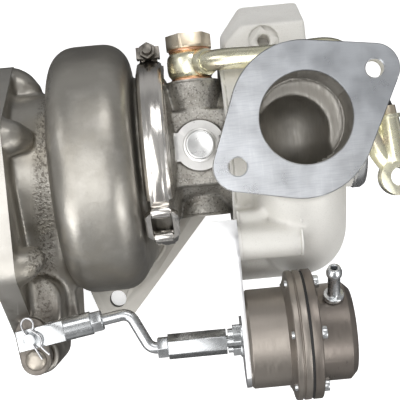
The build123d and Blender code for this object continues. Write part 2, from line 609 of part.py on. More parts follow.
def clevis_clip():
    """Spring wire clip: one leg through the pin, a round eye, and a bowed leg outside it."""
    toe, eye = around(CLIP_ANGLE, -11.8), around(CLIP_ANGLE, 5.0)
    wire = FilletPolyline(toe, eye, (-4.2, 8.6), (-0.6, 11.4), (2.8, 8.9), (1.5, 5.4), (5.2, 2.0),
                          (5.4, -3.6), (9.4, -8.4), radius=1.3)
    start = Plane(origin=wire @ 0, z_dir=wire % 0)
    clip = sweep(start * Circle(0.62), path=wire)
    return Pos(PIN_X, PIN_Y, LINK_Z + CLIP_Z) * clip


def actuator_rod():
    """Bent push rod from the piston's ball to the clevis."""
    a = radians(clevis_angle())
    tip = (PIN_X + 19.0 * cos(a), PIN_Y + 19.0 * sin(a), LINK_Z)
    route = FilletPolyline(tip, (*ROD_BENDS[1], LINK_Z), (*ROD_BENDS[0], LINK_Z), (BALL_X, CAN_Y, LINK_Z),
                           radius=6.0)
    rod = sweep(Plane(origin=route @ 0, z_dir=route % 0) * Circle(ROD_R), path=route)
    return rod + Pos(BALL_X, CAN_Y, LINK_Z) * Sphere(BALL_R)


def adjuster_sleeve():
    sleeve = hex_x(11.6, -24.8, 5.4, CAN_Y, LINK_Z, turn=0)
    return sleeve - rod_x(ROD_R + CLOSE, -30, 10, CAN_Y, LINK_Z)


def jam_nuts():
    """Two thin nuts that lock the rod's length."""
    near = hex_x(10.0, -30.2, -24.9, CAN_Y, LINK_Z, turn=30)
    near -= rod_x(ROD_R + CLOSE, -40, -20, CAN_Y, LINK_Z)
    far = hex_x(10.0, 31.6, 37.2, turn=30) - rod_x(ROD_R + CLOSE, 30, 40)
    return Compound([near, on_clevis(far)])


# --- actuator -----------------------------------------------------------------------------------
SCREW_PCD_R = 29.6


def screw_places():
    return [(CAN_Y + around(60 * i + 22, SCREW_PCD_R)[0], LINK_Z + around(60 * i + 22, SCREW_PCD_R)[1])
            for i in range(6)]


def stud_places():
    y, z = around(STUD_ANGLE, STUD_RADIUS)
    return [(CAN_Y + y, LINK_Z + z), (CAN_Y - y, LINK_Z - z)]


def actuator_body():
    x0, xf, xs = CAN_BACK_X, CAN_FLANGE_X, CAN_SPLIT_X
    can = turned_at([(x0, 7.0), (x0, CAN_R - 1.5), (x0 + 1.5, CAN_R), (xf - 2.2, CAN_R), (xf - 1.0, 28.6),
                     (xf, 30.2), (xf + 0.1, CAN_FLANGE_R - 0.5), (xf + 0.6, CAN_FLANGE_R),
                     (xf + 3.0, CAN_FLANGE_R), (xf + 3.4, CAN_FLANGE_R - 0.7), (xf + 3.9, CAN_FLANGE_R - 0.7),
                     (xf + 4.3, CAN_FLANGE_R), (xs, CAN_FLANGE_R), (xs, 22.6), (x0 + 2.4, 22.6),
                     (x0 + 2.4, 7.0)], CAN_Y, LINK_Z)
    for y, z in screw_places():
        can -= rod_x(2.05, xf - 3, xs + 1, y, z)
    for y, z in stud_places():
        can -= rod_x(2.55, x0 - 1, x0 + 3, y, z)
    return solid_of(can)


def actuator_cover():
    x0 = CAN_SPLIT_X + DIAPHRAGM_T
    xf, x1 = CAP_FLANGE_END_X, CAP_END_X
    cap = turned_at([(x0, 22.6), (x0, CAN_FLANGE_R), (xf - 0.5, CAN_FLANGE_R), (xf, CAN_FLANGE_R - 0.5),
                     (xf, 24.9), (x1 - 3.2, 24.9), (x1, 21.7), (x1, 0), (x1 - 2.4, 0), (x1 - 2.4, 20.0),
                     (x1 - 5, 22.4)], CAN_Y, LINK_Z)
    for y, z in screw_places():
        cap -= rod_x(2.05, x0 - 1, xf + 1, y, z)
    cap -= on_nipple(rod_z(2.9, -10, 4))
    return solid_of(cap)


def actuator_screws():
    """Six socket screws with nuts that clamp the two halves on the diaphragm."""
    group = []
    for y, z in screw_places():
        head = rod_x(3.3, CAP_FLANGE_END_X, CAP_FLANGE_END_X + 2.6, y, z)
        head -= hex_x(2.8, CAP_FLANGE_END_X + 1.0, CAP_FLANGE_END_X + 4, y, z)
        shank = rod_x(2.0, CAN_FLANGE_X - 1.2, CAP_FLANGE_END_X, y, z)
        group.append(head + shank)
    return Compound(group)


NIPPLE_X, NIPPLE_ANGLE = 60.5, 40.0


def on_nipple(shape):
    """Places a shape drawn along Z with z = 0 on the cover's surface."""
    y, z = around(NIPPLE_ANGLE, 24.4)
    return Pos(NIPPLE_X, CAN_Y + y, LINK_Z + z) * Rot(NIPPLE_ANGLE - 90, 0, 0) * shape


def hose_nipple():
    stem = Polyline((0, -6), (2.8, -6), (2.8, 0.6), (5.2, 0.6), (5.2, 3.2), (3.1, 3.2), (3.1, 16.4),
                    (3.9, 16.4), (3.9, 18.6), (3.1, 21.2), (0, 21.2), close=True)
    body = revolve(Plane.XZ * make_face(stem), Axis.Z)
    body += hex_z(9.4, 0.6, 3.2) & rod_z(5.3, 0, 4)
    body -= rod_z(1.7, -7, 22)
    return on_nipple(body)


def actuator_diaphragm():
    x = CAN_SPLIT_X
    disc = turned_at([(x, 20.5), (x, CAN_FLANGE_R - 0.6), (x + DIAPHRAGM_T, CAN_FLANGE_R - 0.6),
                      (x + DIAPHRAGM_T, 20.5)], CAN_Y, LINK_Z)
    disc += turned_at([(x + 0.1, 0), (x + 0.1, 20.5), (x + DIAPHRAGM_T, 20.5), (x + DIAPHRAGM_T, 0)],
                      CAN_Y, LINK_Z)
    for y, z in screw_places():
        disc -= rod_x(2.05, x - 1, x + 3, y, z)
    return solid_of(disc)


def actuator_piston():
    """Pressed cup that the diaphragm pushes; the rod's ball sits in it."""
    return turned_at([(35.0, 4.0), (35.0, 6.4), (43.0, 6.4), (43.0, 19.4), (38.6, 19.4), (38.6, 20.4),
                      (45.3, 20.4), (45.3, 0), (43.9, 0), (43.9, BALL_R + 0.06), (35.9, BALL_R + 0.06),
                      (35.9, 4.0)], CAN_Y, LINK_Z)


def actuator_spring():
    """Return spring between the can's end wall and the piston."""
    turns, radius, wire_r = 4.5, 18.0, 1.05
    x0, x1 = CAN_BACK_X + 2.4 + wire_r + 0.05, 43.0 - wire_r - 0.05
    path = Helix(pitch=(x1 - x0) / turns, height=x1 - x0, radius=radius)
    coil = sweep(Plane(origin=path @ 0, z_dir=path % 0) * Circle(wire_r), path=path, is_frenet=True)
    return Pos(x0, CAN_Y, LINK_Z) * Rot(0, 90, 0) * coil


# --- bracket ------------------------------------------------------------------------------------
BRACKET_X = (CAN_BACK_X - PLATE_T, CAN_BACK_X)
WING_Z = 58.6


def actuator_bracket():
    """Zinc-plated plate with one bent edge, from the compressor housing to the actuator."""
    outline = hull_of(((CAN_Y, LINK_Z, 24.6), (BOSS_1[0], BOSS_1[1], 10.6), (BOSS_2[0], BOSS_2[1], 10.6)))
    plate = extrude(Plane.YZ.offset(BRACKET_X[0]) * outline, PLATE_T)
    plate &= block(0, 30, -140, -30, -30, WING_Z + PLATE_T / 2)
    plate += block(1.4, BRACKET_X[1], -88.0, -40.0, WING_Z - PLATE_T, WING_Z)
    plate += block(BRACKET_X[0], BRACKET_X[1], -90.0, -40.0, WING_Z - 12, WING_Z)
    plate -= rod_x(7.5, 5, 20, CAN_Y, LINK_Z)
    for y, z in stud_places():
        plate -= rod_x(2.7, 5, 20, y, z)
    for y, z in (BOSS_1, BOSS_2):
        plate -= rod_x(4.2, 5, 20, y, z)
    plate -= block(0, 30, -64, -45, 15, 34)
    return solid_of(plate)


def bracket_bolts():
    group = []
    for y, z in (BOSS_1, BOSS_2):
        x = BRACKET_X[0]
        head = hex_x(10.0, x - 5.2, x - 1.0, y, z, turn=12) + rod_x(7.4, x - 1.0, x, y, z)
        group.append(head + rod_x(3.4, x, 34, y, z))
    return Compound(group)


def actuator_nuts():
    """Nuts and washers on the actuator's two studs."""
    group = []
    for y, z in stud_places():
        x = BRACKET_X[0]
        nut = hex_x(8.0, x - 5.0, x - 1.0, y, z, turn=30) + rod_x(5.2, x - 1.0, x, y, z)
        group.append(nut - rod_x(2.52, x - 8, x + 2, y, z))
    return Compound(group)


def actuator_studs():
    group = []
    for y, z in stud_places():
        stud = rod_x(2.5, BRACKET_X[0] - 7.5, CAN_BACK_X + 3.6, y, z)
        group.append(stud + rod_x(3.3, CAN_BACK_X + 2.4, CAN_BACK_X + 4.0, y, z))
    return Compound(group)


# --- compressor housing -------------------------------------------------------------------------
SCROLL_START, SCROLL_END = -225.0, 90.0
SCROLL_STEPS = 15
PAD_X, PAD_FRONT_Y, PAD_BACK_Y = (19.0, 65.5), 64.8, 80.6
PAD_FRONT_Z, PAD_BACK_Z, PAD_REAR_Z = 10.0, -20.0, -30.0


def scroll_r(angle):
    """Outer radius of the scroll's section: it grows up to angle 0, then narrows into the outlet."""
    if angle > 0:
        return SCROLL_MAX_R + (SCROLL_END_R - SCROLL_MAX_R) * angle / SCROLL_END
    return SCROLL_MAX_R + (SCROLL_MIN_R - SCROLL_MAX_R) * angle / SCROLL_START


def scroll_centre(angle):
    """Place of the section's centre: distance along the shaft and from it."""
    r = scroll_r(angle)
    radius = 40.0 + (r - SCROLL_MIN_R) * 0.6
    if angle > 0:
        radius = 50.5 - 4.0 * angle / SCROLL_END
    return 27.0 + r, radius


def scroll(grow):
    faces = []
    for i in range(SCROLL_STEPS + 1):
        angle = SCROLL_START + (SCROLL_END - SCROLL_START) * i / SCROLL_STEPS
        x, radius = scroll_centre(angle)
        faces.append(spin_plane(angle) * Pos(x, radius) * Circle(scroll_r(angle) + grow))
    return loft(faces)


def outlet_flange_outline():
    a = radians(OUTLET_BOLT_ANGLE)
    dx, dy = OUTLET_BOLT_HALF * cos(a), OUTLET_BOLT_HALF * sin(a)
    nx, ny = -sin(a), cos(a)
    return hull_of(((OUTLET_X + dx, OUTLET_Y + dy, 12.3), (OUTLET_X - dx, OUTLET_Y - dy, 12.3),
                    (OUTLET_X + nx * 2.5, OUTLET_Y + ny * 2.5, 36.0),
                    (OUTLET_X - nx * 1.5 - dx * 0.1, OUTLET_Y - ny * 1.5 - dy * 0.1, 36.0)))


def pad_outline(top, bevel_x, bevel_y):
    x0, x1 = PAD_X
    return make_face(Polyline((x0, 38), (x0, top - bevel_y), (x0 + bevel_x, top), (x1, top), (x1, 38),
                              close=True))


def mounting_pad():
    """Cast pad with a sloping back and a bevelled corner."""
    front = Pos(0, 0, PAD_FRONT_Z) * pad_outline(PAD_FRONT_Y, 11.0, 10.0)
    back = pad_outline(PAD_BACK_Y, 12.5, 16.0)
    slope = loft([Pos(0, 0, PAD_BACK_Z) * back, front], ruled=True)
    return slope + Pos(0, 0, PAD_REAR_Z) * extrude(back, PAD_BACK_Z - PAD_REAR_Z)


def compressor_housing():
    """Aluminium scroll with its inlet, two-bolt outlet flange, bracket bosses and mounting pad."""
    body = scroll(0)
    body += turned([(HOUSING_BACK_X, 0), (HOUSING_BACK_X, 46.6), (16.4, 47.4), (24.0, 47.8), (25.0, 48.5),
                    (33.0, 48.5), (38, 44), (48, 36), (62, 31.0), (66, COVER_INLET_R),
                    (COVER_INLET_X - 7, COVER_INLET_R),
                    (COVER_INLET_X - 6, COVER_INLET_R + 0.9), (COVER_INLET_X - 2.2, COVER_INLET_R + 0.9),
                    (COVER_INLET_X, COVER_INLET_R - 0.6), (COVER_INLET_X, 0)])
    end_x, end_r = scroll_centre(SCROLL_END)
    elbow = Pos(end_x, 2.0, end_r - 0.5)
    body += elbow * Sphere(SCROLL_END_R)
    body += rod_z(OUTLET_BORE_R + 4.4, end_r - 6, OUTLET_Z - 2, x=OUTLET_X, y=OUTLET_Y - 1.5)
    body += Pos(0, 0, OUTLET_Z - 9.5) * extrude(outlet_flange_outline(), 9.5)
    for (y, z), x1 in ((BOSS_1, 48.5), (BOSS_2, 44.0)):
        body += rod_x(BOSS_R, CAN_BACK_X, x1, y, z)
    body += block(CAN_BACK_X + 0.5, 30, -50, -36, 20, 50)
    body += block(CAN_BACK_X + 0.5, 34, -66, -40, 0, 12)
    body += mounting_pad()
    # air spaces
    body -= scroll(-SCROLL_WALL)
    body -= elbow * Sphere(SCROLL_END_R - SCROLL_WALL)
    body -= rod_z(OUTLET_BORE_R, end_r - 4, OUTLET_Z + 1, x=OUTLET_X, y=OUTLET_Y)
    body -= turned([(BACKPLATE_X[1] + 0.02, 0), (BACKPLATE_X[1] + 0.02, 45.0), (32.8, 45.0), (32.8, 38.5),
                    (DIFFUSER_X, 38.5), (DIFFUSER_X, WHEEL_TIP_R + 0.9), (DIFFUSER_X + 0.4, 27.4),
                    (30.0, 26.8), (34.5, 24.7), (41.5, 23.4), (52.0, WHEEL_EYE_R + TIP_GAP),
                    (60.0, COVER_INLET_BORE_R), (COVER_INLET_X + 1, COVER_INLET_BORE_R),
                    (COVER_INLET_X + 1, 0)])
    body -= rod_x(SPIGOT_R, HOUSING_BACK_X - 1, BACKPLATE_X[1] + 0.03)
    body -= turned([(16.8, 40), (16.8, SPIGOT_R + 2.1), (18.38, SPIGOT_R + 2.1), (18.38, 40)])
    for angle in (OUTLET_BOLT_ANGLE, OUTLET_BOLT_ANGLE + 180):
        x, y = around(angle, OUTLET_BOLT_HALF)
        body -= rod_z(OUTLET_HOLE_R, OUTLET_Z - 12, OUTLET_Z + 1, x=OUTLET_X + x, y=OUTLET_Y + y)
        body -= rod_z(9.0, OUTLET_Z - 20, OUTLET_Z - 9.5, x=OUTLET_X + x, y=OUTLET_Y + y)
    for y, z in (BOSS_1, BOSS_2):
        body -= rod_x(3.42, CAN_BACK_X - 1, 36, y, z)
    body -= rod_z(8.2, PAD_FRONT_Z - 1.4, PAD_FRONT_Z + 1, x=42.0, y=55.5)
    body -= rod_z(3.4, PAD_FRONT_Z - 14, PAD_FRONT_Z + 1, x=42.0, y=55.5)
    return solid_of(body)


def compressor_circlip():
    """Large internal circlip that keeps the compressor housing on the bearing housing."""
    x0, x1 = 16.84, 18.34
    inner, outer = SPIGOT_R - 2.6, SPIGOT_R + 2.0
    ring = turned([(x0, inner), (x0, outer), (x1, outer), (x1, inner)])
    ring -= block(15, 20, -7, 7, -50, -30)
    for side in (-1, 1):
        ring += rod_x(3.0, x0, x1, side * 9.6, 0.2 - inner)
        ring -= rod_x(1.1, 10, 20, side * 9.6, 0.2 - inner)
    return solid_of(ring)


# --- coolant pipe -------------------------------------------------------------------------------
EYE_Y = (37.1, 51.6)                   # the banjo eye's two faces
EYE_R = 12.6
PIPE_R, PIPE_BORE_R = 5.6, 4.3
PIPE_ROUTE = ((5.2, 44.4, 21.8), (11.0, 44.2, 29.6), (20.0, 43.8, 34.6), (31.0, 43.0, 37.6),
              (45.0, 42.3, 41.2), (60.0, 42.8, 44.0), (76.0, 41.0, 45.0), (84.0, 27.0, 45.6),
              (87.0, 6.0, 46.0), (92.5, -12.0, 46.0), (97.4, -19.6, 46.0))
END_EYE = (100.9, -26.4, 46.0)
END_EYE_R, END_EYE_BORE_R = 9.6, 4.7
STUB_TOP, STUB_FOOT = (98.6, 4.0, 46.0), (100.4, -18.5, 46.0)


def pipe_solid(radius):
    path = Spline(*PIPE_ROUTE)
    return sweep(Plane(origin=path @ 0, z_dir=path % 0) * Circle(radius), path=path)


def between(a, b, r0, r1):
    """Straight bar from a to b, r0 thick at a and r1 at b."""
    d = Vector(*b) - Vector(*a)
    side = make_face(Polyline((0, 0), (r0, 0), (r1, d.length), (0, d.length), close=True))
    return Location(Plane(origin=a, z_dir=d)) * revolve(Plane.XZ * side, Axis.Z)


def on_stub(start, end, r0, r1):
    """Round bar on the vent stub's axis, from start to end measured from the stub's top."""
    top, foot = Vector(*STUB_TOP), Vector(*STUB_FOOT)
    along = (foot - top).normalized()
    return between(top + along * start, top + along * end, r0, r1)


def coolant_pipe():
    """Zinc-plated water pipe with a banjo eye at each end and a brazed vent stub."""
    y0, y1 = EYE_Y
    side = make_face(Polyline((0, y0), (EYE_R - 2.2, y0), (EYE_R - 0.4, y0 + 2.6), (EYE_R, y0 + 5),
                              (EYE_R, y1 - 5), (EYE_R - 0.4, y1 - 2.6), (EYE_R - 2.2, y1), (0, y1),
                              close=True))
    pipe = pipe_solid(PIPE_R) + Pos(BANJO_X, 0, UPPER_PORT_Z) * revolve(Plane.XY * side, Axis.Y)
    pipe += between((7.6, 44.3, 25.2), (9.9, 44.2, 28.2), 7.8, 7.0)
    pipe += on_stub(0, 22.5, 5.4, 7.4) + on_stub(-1.6, 0.4, 6.3, 6.3)
    pipe += rod_z(END_EYE_R, 40.5, 51.5, x=END_EYE[0], y=END_EYE[1])
    pipe += block(END_EYE[0] - 7.5, END_EYE[0] + 7.5, -24, -17, 41.5, 50.5)
    pipe -= pipe_solid(PIPE_BORE_R)
    pipe -= rod_y(7.1, 30, 60, x=BANJO_X, z=UPPER_PORT_Z)
    pipe -= rod_z(END_EYE_BORE_R, 30, 60, x=END_EYE[0], y=END_EYE[1])
    pipe -= on_stub(-3, 12, 2.2, 2.2)
    return solid_of(pipe)


def banjo_bolt():
    y = EYE_Y[1] + 1.5
    flat = RegularPolygon(11.0, 6, major_radius=False, rotation=8)
    bolt = extrude(Plane(origin=(0, y + 1.2, 0), x_dir=(1, 0, 0), z_dir=(0, 1, 0)) * flat, 6.6)
    bolt &= rod_y(12.3, y, y + 7.8)
    bolt += rod_y(12.2, y, y + 1.4) + rod_y(WATER_BORE_R - CLOSE, UPPER_FACE_Y - 12, y)
    bolt -= rod_y(3.6, UPPER_FACE_Y - 13, y - 2)
    bolt -= rod_x(2.6, -10, 10, (EYE_Y[0] + EYE_Y[1]) / 2)
    return Pos(BANJO_X, 0, UPPER_PORT_Z) * bolt


def banjo_washers():
    """Two copper sealing rings."""
    low = rod_y(11.2, UPPER_FACE_Y, EYE_Y[0]) - rod_y(7.0, 30, 60)
    high = rod_y(11.2, EYE_Y[1], EYE_Y[1] + 1.5) - rod_y(7.0, 30, 60)
    return Pos(BANJO_X, 0, UPPER_PORT_Z) * Compound([low, high])


def vent_screw():
    return on_stub(-6.2, -1.62, 4.6, 4.8) + on_stub(-2, 8, 2.15, 2.15)


def vent_cap():
    return on_stub(-10.4, -6.22, 2.2, 3.4)


# --- everything ---------------------------------------------------------------------------------
PARTS = {
    "turbine_housing": turbine_housing,
    "bearing_housing": bearing_housing,
    "compressor_housing": compressor_housing,
    "compressor_backplate": compressor_backplate,
    "backplate_screws": backplate_screws,
    "backplate_oring": lambda: ring_in_groove(BACKPLATE_X[0] + 0.95, BACKPLATE_X[0] + 2.65,
                                              SPIGOT_R - 2.25, SPIGOT_R - 0.05),
    "compressor_circlip": compressor_circlip,
    "heat_shroud": heat_shroud,
    "thrust_bearing": thrust_bearing,
    "oil_deflector": oil_deflector,
    "bearing_circlips": bearing_circlips,
    "turbine_seal_ring": lambda: ring_in_groove(-25.4, -23.7, 7.7, 8.72),
    "compressor_seal_ring": lambda: ring_in_groove(21.7, 23.1, 6.2, 6.96),
    "oil_inlet_plug": oil_inlet_plug,
    "oil_plug_washer": oil_plug_washer,
    "vband_retainers": vband_retainers,
    "vband_strap_upper": vband_strap_upper,
    "vband_strap_lower": vband_strap_lower,
    "vband_link": vband_link,
    "vband_tbolt": vband_tbolt,
    "vband_trunnion": vband_trunnion,
    "vband_nut": vband_nut,
    "coolant_pipe": coolant_pipe,
    "banjo_bolt": banjo_bolt,
    "banjo_washers": banjo_washers,
    "vent_screw": vent_screw,
    "vent_cap": vent_cap,
    "turbine_shaft_wheel": turbine_shaft_wheel,
    "compressor_wheel": compressor_wheel,
    "shaft_nut": shaft_nut,
    "thrust_collar": thrust_collar,
    "oil_flinger": oil_flinger,
    "turbine_bush": lambda: journal_bearing(TURBINE_BUSH),
    "compressor_bush": lambda: journal_bearing(COMPRESSOR_BUSH),
    "wastegate_bushing": wastegate_bushing,
    "wastegate_shaft": wastegate_shaft,
    "wastegate_flapper": wastegate_flapper,
    "flapper_washer": flapper_washer,
    "wastegate_lever": wastegate_lever,
    "lever_weld": lever_weld,
    "clevis": clevis,
    "clevis_pin": clevis_pin,
    "clevis_clip": clevis_clip,
    "actuator_rod": actuator_rod,
    "adjuster_sleeve": adjuster_sleeve,
    "jam_nuts": jam_nuts,
    "actuator_body": actuator_body,
    "actuator_cover": actuator_cover,
    "actuator_screws": actuator_screws,
    "hose_nipple": hose_nipple,
    "actuator_diaphragm": actuator_diaphragm,
    "actuator_piston": actuator_piston,
    "actuator_spring": actuator_spring,
    "actuator_bracket": actuator_bracket,
    "bracket_bolts": bracket_bolts,
    "actuator_nuts": actuator_nuts,
    "actuator_studs": actuator_studs,
}


def export(name, shape):
    row = Pos(-INLET_X, -INLET_Y, SHAFT_HEIGHT) * shape
    export_step(row, f"parts/{name}.step")


def main():
    os.makedirs("parts", exist_ok=True)
    for name, make in PARTS.items():
        export(name, make())


main()
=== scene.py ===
import json
import math

import bmesh
import bpy
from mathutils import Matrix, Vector


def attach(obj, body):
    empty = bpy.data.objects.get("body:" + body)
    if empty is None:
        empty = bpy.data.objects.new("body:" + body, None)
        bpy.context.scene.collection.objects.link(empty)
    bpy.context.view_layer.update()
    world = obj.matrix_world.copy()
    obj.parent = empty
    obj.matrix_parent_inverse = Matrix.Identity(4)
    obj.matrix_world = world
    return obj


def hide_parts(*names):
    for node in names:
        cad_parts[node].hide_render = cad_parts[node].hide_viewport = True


# Turbocharger seen from above its compressor outlet. Lengths in this file are millimetres in the
# shaft's frame (X along the shaft towards the compressor, Z up) unless a name says otherwise.

MM = 0.001
MERGE_MM = 0.002                          # vertices closer than this are one
VIEW_DISTANCE, VIEW_WIDTH = 540.0, 224.0
VIEW_X, VIEW_Y, VIEW_ROLL = -1.3, -28.6, -5.5    # roll in degrees
FLOOR_RADIUS_M = 1.6

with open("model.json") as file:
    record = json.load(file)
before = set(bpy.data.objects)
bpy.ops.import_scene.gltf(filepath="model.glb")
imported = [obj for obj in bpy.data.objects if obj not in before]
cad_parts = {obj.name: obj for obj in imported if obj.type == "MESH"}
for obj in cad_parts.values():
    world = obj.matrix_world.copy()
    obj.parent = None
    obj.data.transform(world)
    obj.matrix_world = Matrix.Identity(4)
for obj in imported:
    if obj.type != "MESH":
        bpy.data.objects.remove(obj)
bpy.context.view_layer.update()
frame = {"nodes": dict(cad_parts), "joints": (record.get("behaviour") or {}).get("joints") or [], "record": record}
NODES = frame["nodes"]
JOINTS = {joint["name"]: joint for joint in frame["joints"]}
SHAFT = Vector(JOINTS["rotor_spin"]["pos_m"])
BODY_OF = {node: body for body, nodes in frame["record"]["behaviour"]["bodies"].items()
           for node in nodes}
SLOT_OF = {part["node"]: part["material_slot"] for part in frame["record"]["subparts"]}


def at(x, y, z):
    """Point in the row frame, in metres, from shaft-frame millimetres."""
    return SHAFT + Vector((x, y, z)) * MM


# --- camera, light and floor --------------------------------------------------------------------
def add_camera():
    data = bpy.data.cameras.new("camera")
    data.sensor_width = 36.0
    data.lens = data.sensor_width * VIEW_DISTANCE / VIEW_WIDTH
    data.clip_start = 0.01
    camera = bpy.data.objects.new("camera", data)
    camera.location = at(VIEW_X, VIEW_Y, VIEW_DISTANCE)
    camera.rotation_euler = (0, 0, math.radians(VIEW_ROLL))
    bpy.context.scene.collection.objects.link(camera)
    bpy.context.scene.camera = camera


def add_light(name, place, target, width, height, radiance):
    """Rectangular area light of the given size and brightness, turned towards the target."""
    data = bpy.data.lights.new(name, "AREA")
    data.shape = "RECTANGLE"
    data.size, data.size_y = width * MM, height * MM
    data.energy = math.pi * data.size * data.size_y * radiance
    light = bpy.data.objects.new(name, data)
    light.location = at(*place)
    light.rotation_euler = (at(*target) - light.location).to_track_quat("-Z", "Y").to_euler()
    bpy.context.scene.collection.objects.link(light)


def add_lights():
    add_light("overhead", (-200, -130, 640), (-60, -60, 0), 640, 440, 1.75)
    add_light("back_top", (150, 430, 560), (40, 20, 0), 420, 300, 2.6)
    add_light("left_back", (-480, 240, 420), (-20, 0, 0), 260, 260, 1.7)
    add_light("right_front", (430, -430, 380), (20, -30, 0), 380, 380, 3.0)
    add_light("left_front", (-420, -430, 380), (-20, -30, 0), 380, 380, 2.8)


SKY = ((0.0, 0.10), (0.27, 0.12), (0.40, 0.42), (0.55, 0.42), (0.68, 0.24), (0.88, 0.34), (1.0, 0.45))


def add_world():
    """Studio surroundings, brightness by height: pale level with the object, dim above and below it."""
    world = bpy.data.worlds.new("studio")
    bpy.context.scene.world = world
    world.use_nodes = True
    nodes, links = world.node_tree.nodes, world.node_tree.links
    coordinates = nodes.new("ShaderNodeTexCoord")
    split = nodes.new("ShaderNodeSeparateXYZ")
    height = nodes.new("ShaderNodeMapRange")
    height.inputs["From Min"].default_value = -1.0
    ramp = nodes.new("ShaderNodeValToRGB")
    links.new(coordinates.outputs["Generated"], split.inputs["Vector"])
    links.new(split.outputs["Z"], height.inputs["Value"])
    links.new(height.outputs["Result"], ramp.inputs["Fac"])
    links.new(ramp.outputs["Color"], nodes["Background"].inputs["Color"])
    stops = ramp.color_ramp.elements
    for stop, (position, grey) in zip(stops, (SKY[0], SKY[-1])):
        stop.position, stop.color = position, (grey, grey, grey, 1)
    for position, grey in SKY[1:-1]:
        stops.new(position).color = (grey, grey, grey, 1)


def add_floor():
    bpy.ops.mesh.primitive_circle_add(vertices=96, radius=FLOOR_RADIUS_M, fill_type="NGON",
                                      location=(SHAFT.x, SHAFT.y, 0))
    floor = bpy.context.object
    floor.name = "floor"
    floor.visible_glossy = False
    material = bpy.data.materials.new("floor")
    material.use_nodes = True
    shader = material.node_tree.nodes["Principled BSDF"]
    shader.inputs["Base Color"].default_value = (0.93, 0.93, 0.93, 1)
    shader.inputs["Roughness"].default_value = 0.9
    shader.inputs["Specular IOR Level"].default_value = 0.1
    shader.inputs["Emission Color"].default_value = (1, 1, 1, 1)
    shader.inputs["Emission Strength"].default_value = 0.6
    floor.data.materials.append(material)


# --- materials ----------------------------------------------------------------------------------
class Finish:
    """A procedural material under construction: one Principled shader and helpers for its inputs."""

    def __init__(self, name, color, metallic, roughness):
        self.material = bpy.data.materials.new(name)
        self.material.use_nodes = True
        self.tree = self.material.node_tree
        self.shader = self.tree.nodes["Principled BSDF"]
        self.shader.inputs["Metallic"].default_value = metallic
        self.shader.inputs["Roughness"].default_value = roughness
        self.color = None
        self.height = None
        self.place = self.node("ShaderNodeTexCoord").outputs["Object"]
        self.shader.inputs["Base Color"].default_value = (*color, 1)
        self.base = (*color, 1)

    def node(self, kind):
        return self.tree.nodes.new(kind)

    def link(self, source, target):
        self.tree.links.new(source, target)

    def stretched(self, scale):
        mapping = self.node("ShaderNodeMapping")
        mapping.inputs["Scale"].default_value = scale
        self.link(self.place, mapping.inputs["Vector"])
        return mapping.outputs["Vector"]

    def noise(self, scale, detail=3.0, roughness=0.55, stretch=None):
        texture = self.node("ShaderNodeTexNoise")
        texture.inputs["Scale"].default_value = scale
        texture.inputs["Detail"].default_value = detail
        texture.inputs["Roughness"].default_value = roughness
        self.link(self.stretched(stretch) if stretch else self.place, texture.inputs["Vector"])
        return texture.outputs["Fac"]

    def ramp(self, value, low, high, out_low=0.0, out_high=1.0):
        change = self.node("ShaderNodeMapRange")
        change.inputs["From Min"].default_value = low
        change.inputs["From Max"].default_value = high
        change.inputs["To Min"].default_value = out_low
        change.inputs["To Max"].default_value = out_high
        self.link(value, change.inputs["Value"])
        return change.outputs["Result"]

    def tint(self, value, color, low, high, strength=1.0):
        """Mixes color in where value runs from low to high."""
        mix = self.node("ShaderNodeMix")
        mix.data_type = "RGBA"
        self.link(self.ramp(value, low, high, 0.0, strength), mix.inputs["Factor"])
        if self.color is None:
            mix.inputs["A"].default_value = self.base
        else:
            self.link(self.color, mix.inputs["A"])
        mix.inputs["B"].default_value = (*color, 1)
        self.color = mix.outputs["Result"]

    def edges(self, light, corner_shade, strength=0.7):
        """Lighter worn edges, and painted shade that darkens corners and hollows, both from the surface's own
        curvature.
        """
        point = self.node("ShaderNodeNewGeometry").outputs["Pointiness"]
        self.tint(point, light, 0.52, 0.62, strength)
        # painted shade: the corner_shade colour darkens low-pointiness corners and hollows
        self.tint(self.ramp(point, 0.49, 0.40), corner_shade, 0.0, 1.0, strength)

    def along(self, direction):
        """Distance of the surface point along a direction, in metres."""
        dot = self.node("ShaderNodeVectorMath")
        dot.operation = "DOT_PRODUCT"
        self.link(self.place, dot.inputs[0])
        dot.inputs[1].default_value = direction
        return dot.outputs["Value"]

    def times(self, a, b):
        product = self.node("ShaderNodeMath")
        product.operation = "MULTIPLY"
        self.link(a, product.inputs[0])
        self.link(b, product.inputs[1])
        return product.outputs["Value"]

    def window(self, value, low, high, soft):
        """1 between low and high, falling to 0 over soft on each side."""
        return self.times(self.ramp(value, low - soft, low + soft),
                          self.ramp(value, high + soft, high - soft))

    def rough(self, value, low, high, out_low, out_high):
        self.link(self.ramp(value, low, high, out_low, out_high), self.shader.inputs["Roughness"])

    def bump(self, value, depth_mm, strength=1.0):
        bump = self.node("ShaderNodeBump")
        bump.inputs["Distance"].default_value = depth_mm * MM
        bump.inputs["Strength"].default_value = strength
        self.link(value, bump.inputs["Height"])
        if self.height is not None:
            self.link(self.height, bump.inputs["Normal"])
        self.height = bump.outputs["Normal"]

    def done(self):
        if self.color is not None:
            self.link(self.color, self.shader.inputs["Base Color"])
        if self.height is not None:
            self.link(self.height, self.shader.inputs["Normal"])
        return self.material


